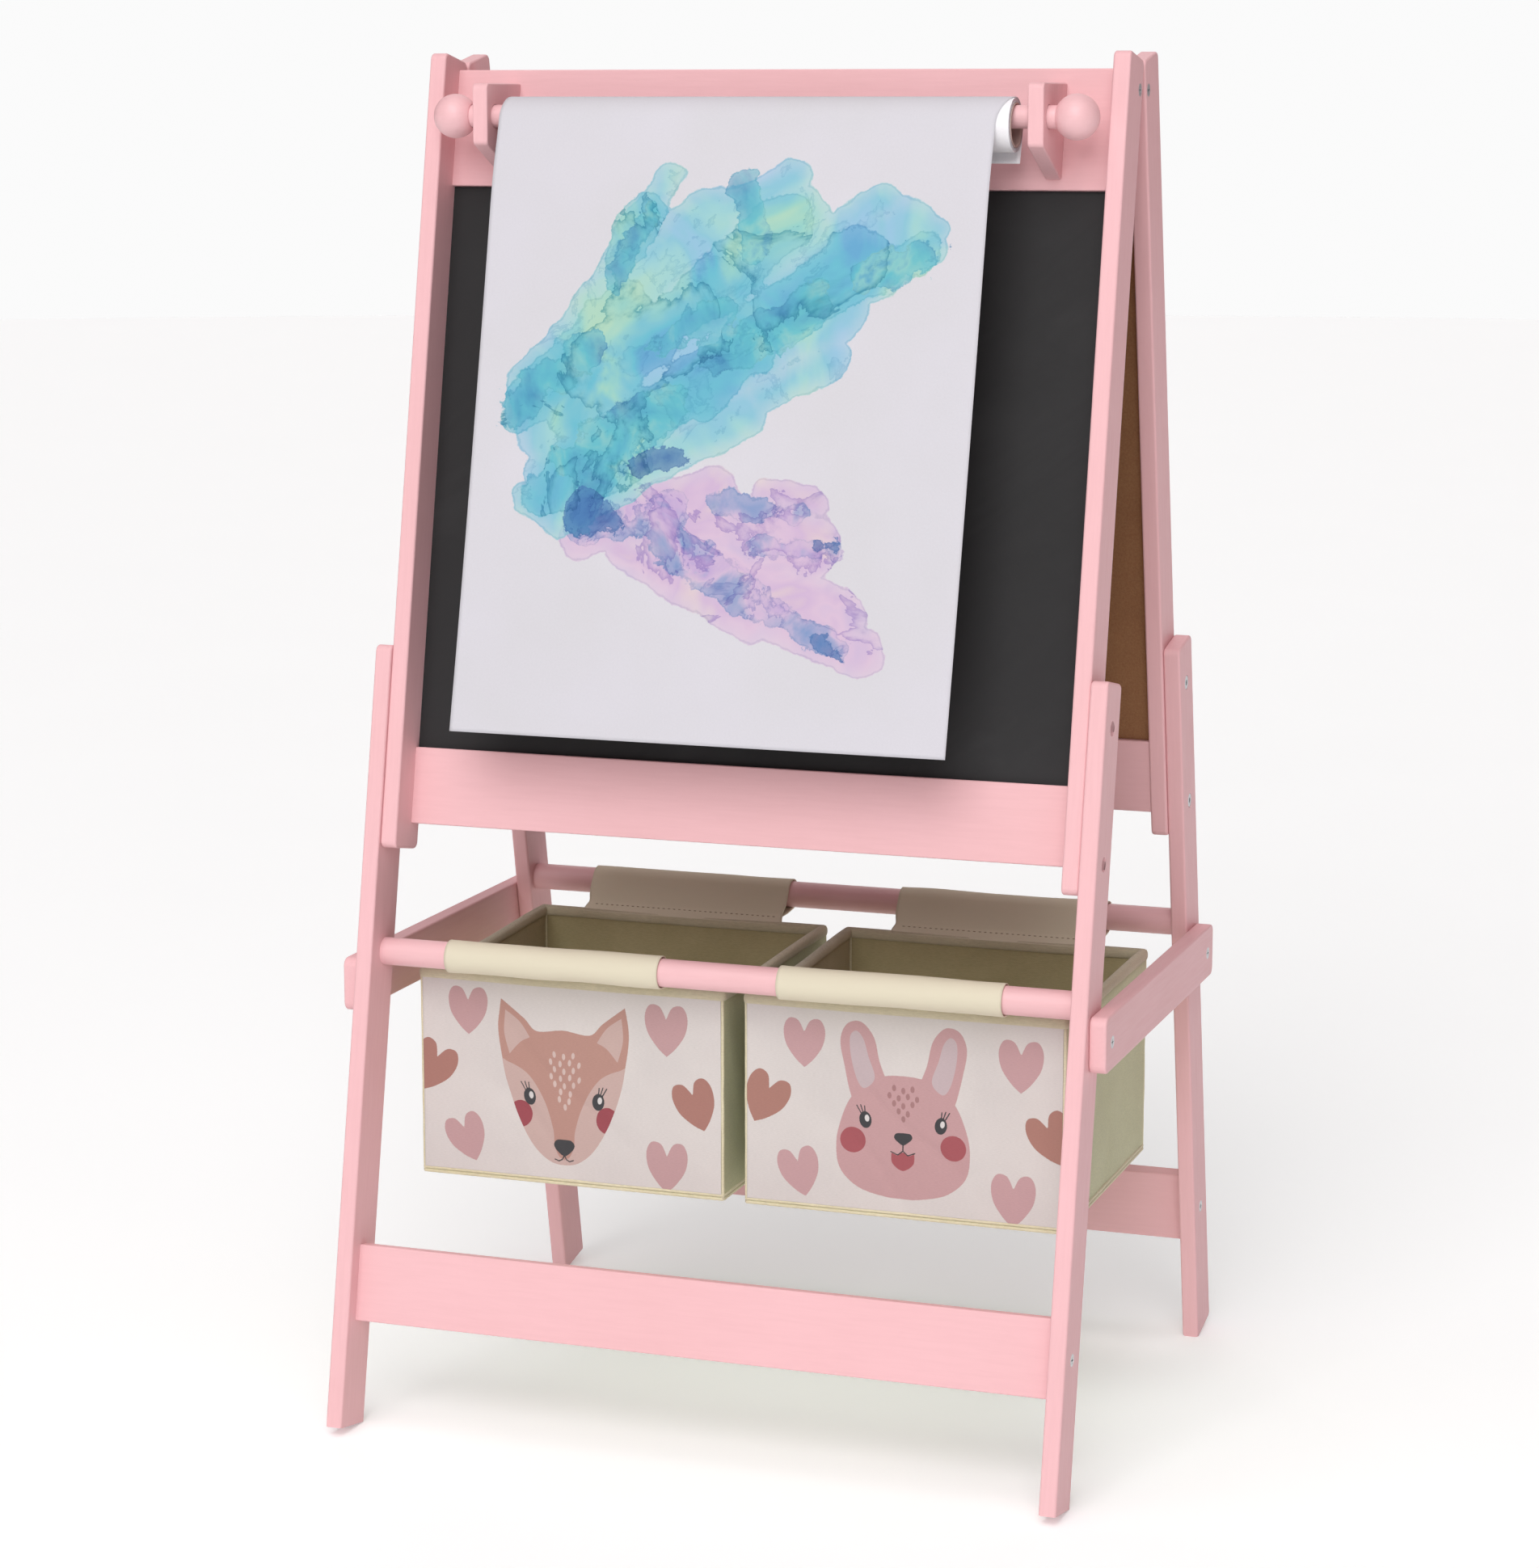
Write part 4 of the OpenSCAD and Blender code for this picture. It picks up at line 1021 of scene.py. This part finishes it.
def make_sleeve(bin_, name, side):
    """One sleeve, gathered at its seam and loose round the rod, with two rows of stitches."""
    centre, rod_radius, _, _ = node_axis("front_rod" if side == FRONT else "rear_rod")
    rod = np.array(centre)
    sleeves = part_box(f"bin_{bin_.half}_sleeves")
    line, seam, across = sleeve_line(bin_, side, rod, rod_radius)
    line = smooth_line(line, 2)
    x0, x1 = sleeves[0].x + 0.6 * MM, sleeves[1].x - 0.6 * MM
    middle, half = (x0 + x1) / 2, (x1 - x0) / 2
    columns = 72
    along = lengths(line)
    from_seam = np.hypot(*(line - seam).T)
    points = np.empty((len(line), columns, 3))
    for i, (y, z) in enumerate(line):
        narrow = 1.6 * MM * math.exp(-((from_seam[i] / (5 * MM)) ** 2))
        away = line[i] - rod
        reach = np.linalg.norm(away)
        away = away / reach
        loose = min(1.0, from_seam[i] / (12 * MM)) * (1 if reach < np.linalg.norm(seam - rod) else 0)
        for j, f in enumerate(np.linspace(-1, 1, columns)):
            x = middle + f * (half - narrow)
            puff = 0.7 * MM * loose * (0.5 + noise.noise(Vector((x * 22, y * 55, z * 55 + side))))
            points[i, j] = (x, y + away[0] * puff, z + away[1] * puff)
    uv = [[(x, s) for x in points[i, :, 0]] for i, s in enumerate(along)]
    nodes = [f"bin_{bin_.half}_sleeves"] if side == FRONT else []
    mesh = grid_mesh(name, points, uv)
    add_thickness(bin_.add(name, mesh, cloth("sleeve_fabric"), nodes, "sleeve_fabric"), SLEEVE)

    lift = across * (SLEEVE / 2 + 0.1 * MM)
    half_way = (len(line) - 1) // 2
    sewn = [i for i in range(len(line)) if abs(from_seam[i] - 2.5 * MM) < 1 * MM]
    stitches = []
    for pick, sign in ((max(i for i in sewn if i > half_way), 1), (min(i for i in sewn if i < half_way), -1)):
        path = points[pick].copy()[2:-2]
        path[:, 1:] += sign * lift
        stitches.append(stitch_line(path))
    thread = speckled("thread", 3000, 1, "#8d8068", "#a5987d", 0.7)
    bin_.add(name + "_stitches", join("stitches", stitches), thread, slot="sleeve_fabric")


def smooth_line(line, passes):
    """Rounds the corners of an open line by cutting them (Chaikin)."""
    for _ in range(passes):
        cut = [line[0]]
        for p, q in zip(line[:-1], line[1:]):
            cut += [0.75 * p + 0.25 * q, 0.25 * p + 0.75 * q]
        line = np.array(cut + [line[-1]])
    return line


# ---- printed front panels: hearts and two animals ----


CURVE_STEPS = 9


def mirrored(half):
    """A whole outline from its right half, which starts and ends on the middle line."""
    return half + [(-x, y) for x, y in half[-2:0:-1]]


def closed_curve(knots):
    """A smooth closed outline through knots. A knot given twice is a sharp corner."""
    k = np.array(knots, float)
    n, points = len(k), []
    t = np.linspace(0, 1, CURVE_STEPS, endpoint=False)[:, None]
    for i in range(n):
        p0, p1, p2, p3 = k[i - 1], k[i], k[(i + 1) % n], k[(i + 2) % n]
        if np.allclose(p1, p2):
            continue
        points.append(0.5 * (2 * p1 + (p2 - p0) * t + (2 * p0 - 5 * p1 + 4 * p2 - p3) * t ** 2
                             + (3 * p1 - p0 - 3 * p2 + p3) * t ** 3))
    return np.vstack(points)


def signed_distance(outline, xs, ys):
    """Distance from each point to a closed outline, negative inside."""
    best = np.full(xs.shape, FAR)
    inside = np.zeros(xs.shape, bool)
    for (x0, y0), (x1, y1) in zip(outline, np.roll(outline, -1, 0)):
        dx, dy = x1 - x0, y1 - y0
        t = np.clip(((xs - x0) * dx + (ys - y0) * dy) / max(dx * dx + dy * dy, 1e-12), 0, 1)
        best = np.minimum(best, np.hypot(xs - x0 - t * dx, ys - y0 - t * dy))
        if y0 != y1:
            crosses = (y0 > ys) != (y1 > ys)
            inside ^= crosses & (xs < (x1 - x0) * (ys - y0) / (y1 - y0) + x0)
    return np.where(inside, -best, best)


class Print:
    """Ink layers of one panel, in millimetres from its top left corner and down the cloth."""
    INKS = ("light", "dark", "head", "pale", "fleck", "blush", "ink", "shine")

    def __init__(self, xs, ys):
        self.xs, self.ys = xs, ys
        self.layers = {ink: np.full(xs.shape, 50.0) for ink in self.INKS}

    def lay(self, ink, distance, within=None):
        if within is not None:
            distance = np.maximum(distance, self.layers[within])
        self.layers[ink] = np.minimum(self.layers[ink], distance)

    def outline(self, ink, knots, place=(0, 0), turn=0.0, size=1.0, within=None):
        c, s = math.cos(math.radians(turn)), math.sin(math.radians(turn))
        curve = closed_curve(knots) * size
        curve = np.stack([c * curve[:, 0] - s * curve[:, 1] + place[0],
                          s * curve[:, 0] + c * curve[:, 1] + place[1]], 1)
        self.lay(ink, signed_distance(curve, self.xs, self.ys), within)

    def oval(self, ink, place, rx, ry, turn=0.0, within=None):
        c, s = math.cos(math.radians(turn)), math.sin(math.radians(turn))
        dx, dy = self.xs - place[0], self.ys - place[1]
        u, v = (c * dx + s * dy) / rx, (-s * dx + c * dy) / ry
        self.lay(ink, (np.hypot(u, v) - 1) * min(rx, ry), within)

    def stroke(self, ink, points, half_width):
        for (x0, y0), (x1, y1) in zip(points, points[1:]):
            dx, dy = x1 - x0, y1 - y0
            t = np.clip(((self.xs - x0) * dx + (self.ys - y0) * dy) / (dx * dx + dy * dy), 0, 1)
            self.lay(ink, np.hypot(self.xs - x0 - t * dx, self.ys - y0 - t * dy) - half_width)

    def heart(self, ink, place, turn=0.0, size=1.0):
        half = [(0, -6), (0, -6), (4.5, -14.5), (11.5, -15.5), (15.2, -8), (13.6, 3), (7, 13), (0, 19.5)]
        left = [(-x, y) for x, y in half[::-1]]
        self.outline(ink, half + left, place, turn, size)

    def hearts(self, ink, hearts):
        """Hearts at (x, y, turn, size), with x and y as shares of the panel."""
        w, h = self.xs.max(), self.ys.max()
        for x, y, turn, size in hearts:
            self.heart(ink, (x * w, y * h), turn, size)

    def both_sides(self, ink, knots, place, within=None):
        """The same outline to the left and to the right of a place."""
        for side in (-1, 1):
            self.outline(ink, [(side * x, y) for x, y in knots], place, within=within)

    def eye(self, place, side, size=1.0):
        x, y = place
        self.oval("ink", place, 4.6 * size, 6.2 * size, 8 * side)
        self.oval("shine", (x + 1.2 * size, y - 1.2 * size), 1.7 * size, 2.6 * size, 8 * side)
        for k in (-1, 0, 1):
            foot = (x + (side * 1.8 + k * 1.6) * size, y - (5.4 - abs(k) * 0.5) * size)
            tip = (foot[0] + (side * 1.9 + k * 1.3) * size, foot[1] - 5.4 * size)
            self.stroke("ink", [foot, tip], 0.42)


def fox_print(p, w, h):
    p.hearts("light", [(0.155, 0.15, 0, 0.98), (0.82, 0.17, 0, 1.05), (0.145, 0.82, -22, 0.98),
                       (0.82, 0.875, 0, 1.02)])
    p.hearts("dark", [(0.035, 0.46, 24, 1.05), (0.915, 0.545, -20, 1.03)])
    cx, top = 0.475 * w, 0.055 * h
    head = [(0, 24), (20, 26), (30, 17), (47, 4), (47, 4), (49.5, 24), (47, 46), (43, 66), (35, 88),
            (24, 108), (12, 119), (0, 122)]
    p.outline("head", mirrored(head), (cx, top))
    ear = [(44, 12), (44, 12), (45, 28), (41, 44), (41, 44), (33, 35), (25.5, 31), (25.5, 31), (33, 20)]
    cheek = [(52, 50), (42, 50), (27, 58), (15, 76), (8.5, 96), (7.5, 108), (4, 116), (0, 119), (0, 130),
             (40, 125), (60, 90)]
    p.both_sides("pale", ear, (cx, top), within="head")
    p.both_sides("pale", cheek, (cx, top), within="head")
    for side in (-1, 1):
        p.oval("blush", (cx + side * 33, top + 87), 8.8, 9.6, within="head")
        p.eye((cx + side * 26, top + 74), side)
    for row, count in enumerate((3, 4, 3, 4, 3, 2, 2, 1)):
        for k in range(count):
            x = (k - (count - 1) / 2) * 7.2 + (row % 2) * 0.8
            p.oval("fleck", (cx + x, top + 42 + row * 5.4 + 1.2 * (k % 2)), 1.25, 2.4, 6 * (k - 1))
    nose = [(0, 103.5), (5.5, 104), (8, 107.5), (5.5, 112), (0, 115.5)]
    p.outline("ink", mirrored(nose), (cx, top))
    for side in (-1, 1):
        smile = ((0, 115), (1.6, 118), (4, 119.2), (7, 118))
        p.stroke("ink", [(cx + side * x, top + y) for x, y in smile], 0.45)


def rabbit_print(p, w, h):
    p.hearts("light", [(0.185, 0.17, 0, 0.98), (0.87, 0.20, 0, 1.04), (0.17, 0.83, -14, 0.98),
                       (0.85, 0.875, 0, 1.04)])
    p.hearts("dark", [(0.06, 0.47, 24, 1.04), (0.965, 0.55, -22, 1.04)])
    cx, cy = 0.50 * w, 0.610 * h
    head = [(0, -42), (19, -39), (36, -26), (45, -7), (48, 10), (45, 27), (32, 39), (14, 44), (0, 45)]
    p.outline("head", mirrored(head), (cx, cy))
    ear = [(11, -30), (17, -51), (21, -68), (30, -78), (40, -76), (45, -65), (43, -49), (35, -20), (22, -16)]
    inner = [(20.5, -39), (25, -54), (28.5, -66), (33.5, -71.5), (38, -67), (37.5, -53), (33.5, -37),
             (28, -31)]
    p.both_sides("head", ear, (cx, cy))
    p.both_sides("pale", inner, (cx, cy))
    for side in (-1, 1):
        p.oval("blush", (cx + side * 36, cy + 6), 9.2, 9.0)
        p.eye((cx + side * 27, cy - 9), side, 0.95)
    for row, count in enumerate((3, 4, 3, 2, 1)):
        for k in range(count):
            p.oval("fleck", (cx + (k - (count - 1) / 2) * 6.6, cy - 33 + row * 5.4 + 1.5 * (k % 2)), 1.5, 2.3)
    cy -= 6
    p.outline("ink", mirrored([(0, 4.5), (5, 5), (6.4, 8), (3.6, 11), (0, 13)]), (cx, cy))
    p.stroke("ink", [(cx, cy + 12), (cx, cy + 17)], 0.45)
    mouth = [(-8.2, 18.5), (-8.2, 18.5), (-4, 20.2), (0, 18), (4, 20.2), (8.2, 18.5), (8.2, 18.5), (7.5, 26),
             (0, 31), (-7.5, 26)]
    p.outline("blush", mouth, (cx, cy))
    for side in (-1, 1):
        p.stroke("ink", [(cx, cy + 17), (cx + side * 3.6, cy + 20), (cx + side * 8.6, cy + 18)], 0.42)


PRINT_COLOURS = {
    "fox": {"light": "#bf9a9b", "dark": "#a8786d", "head": "#b68d81", "pale": "#c5aba4",
            "fleck": "#cfb9b2", "blush": "#98464f", "ink": "#3a3b3e", "shine": "#d5d2d0"},
    "rabbit": {"light": "#c29c9e", "dark": "#a97a6e", "head": "#c29b9c", "pale": "#c3b2b5",
               "fleck": "#a57c7c", "blush": "#a3545a", "ink": "#38393c", "shine": "#d8d5d3"}}


def printed_fabric(name):
    """Pale woven cloth whose inks are laid where the mesh's ink attributes are negative."""
    tree, shader = new_material("printed_" + name)
    threads = weave(tree, 0.8 * MM)
    place = coords(tree, uv=True)
    cloud = noise_of(tree, place, 16, 3)
    slub = noise_of(tree, coords(tree, (1, 5, 1), uv=True), 420, 3)
    colour = ramp(tree, cloud, [(0.3, "#d3cecb"), (0.7, "#dad5d1")])
    soft = value(tree, "MULTIPLY", value(tree, "SUBTRACT", slub, 0.5), 0.5)
    for ink in Print.INKS:
        away = add(tree, "Attribute", attribute_name=ink).outputs["Fac"]
        cover = value(tree, "MULTIPLY_ADD", value(tree, "ADD", away, soft), -3.5, 0.5, clamp=True)
        colour = blend_colour(tree, cover, colour, rgb(PRINT_COLOURS[name][ink]))
    fine = ramp(tree, value(tree, "MULTIPLY_ADD", threads, 0.2, slub), [(0.25, "#dedede"), (0.75, "#ffffff")])
    plug(tree, shader, {"Base Color": blend_colour(tree, 0.35, colour, fine, "MULTIPLY"), "Roughness": 0.72,
                        "Sheen Weight": 0.15})
    bump(tree, shader, value(tree, "MULTIPLY_ADD", threads, 0.5, slub), 0.08 * MM)
    return bpy.data.materials["printed_" + name]


def make_panel(bin_, name, draw):
    """The printed cloth on a bin's front, with a fine grid where the face is."""
    side_trim, lower_trim = 1.6 * MM, 4.6 * MM
    x0, x1 = bin_.low.x + side_trim, bin_.high.x - side_trim
    z1, z0 = bin_.rim - BAND + 0.4 * MM, bin_.low.z + lower_trim
    w, h = (x1 - x0) / MM, (z1 - z0) / MM
    face = (0.22 * w, 0.74 * w)
    coarse, fine, rows = 0.9, 0.55, 0.6
    across = np.concatenate([np.arange(0, face[0], coarse), np.arange(face[0], face[1], fine),
                             np.arange(face[1], w, coarse), [w]])
    down = np.append(np.arange(0, h, rows), h)
    xs, ys = np.meshgrid(across, down)
    art = Print(xs, ys)
    draw(art, w, h)
    points = np.array([[bin_.front(x0 + a * MM, z1 - d * MM, 0.55 * MM) for a in across] for d in down])
    mesh = grid_mesh("panel", points[::-1], [[(a * MM, h * MM - d * MM) for a in across] for d in down[::-1]])
    for ink, layer in art.layers.items():
        store(mesh, ink, layer[::-1])
    add_thickness(bin_.add("printed_panel", mesh, printed_fabric(name), slot="bin_fabric"), 0.4 * MM)


def make_bins():
    for half, animal, draw in (("left", "fox", fox_print), ("right", "rabbit", rabbit_print)):
        bin_ = Bin(half)
        make_shell(bin_)
        make_trim(bin_)
        make_panel(bin_, animal, draw)
        make_sleeve(bin_, "front_sleeve", FRONT)
        make_sleeve(bin_, "rear_sleeve", REAR)


make_camera()
make_studio()
make_floor()
make_wood()
make_rods()
make_knobs()
make_boards()
make_hardware()
make_roll()
make_sheet()
make_bins()
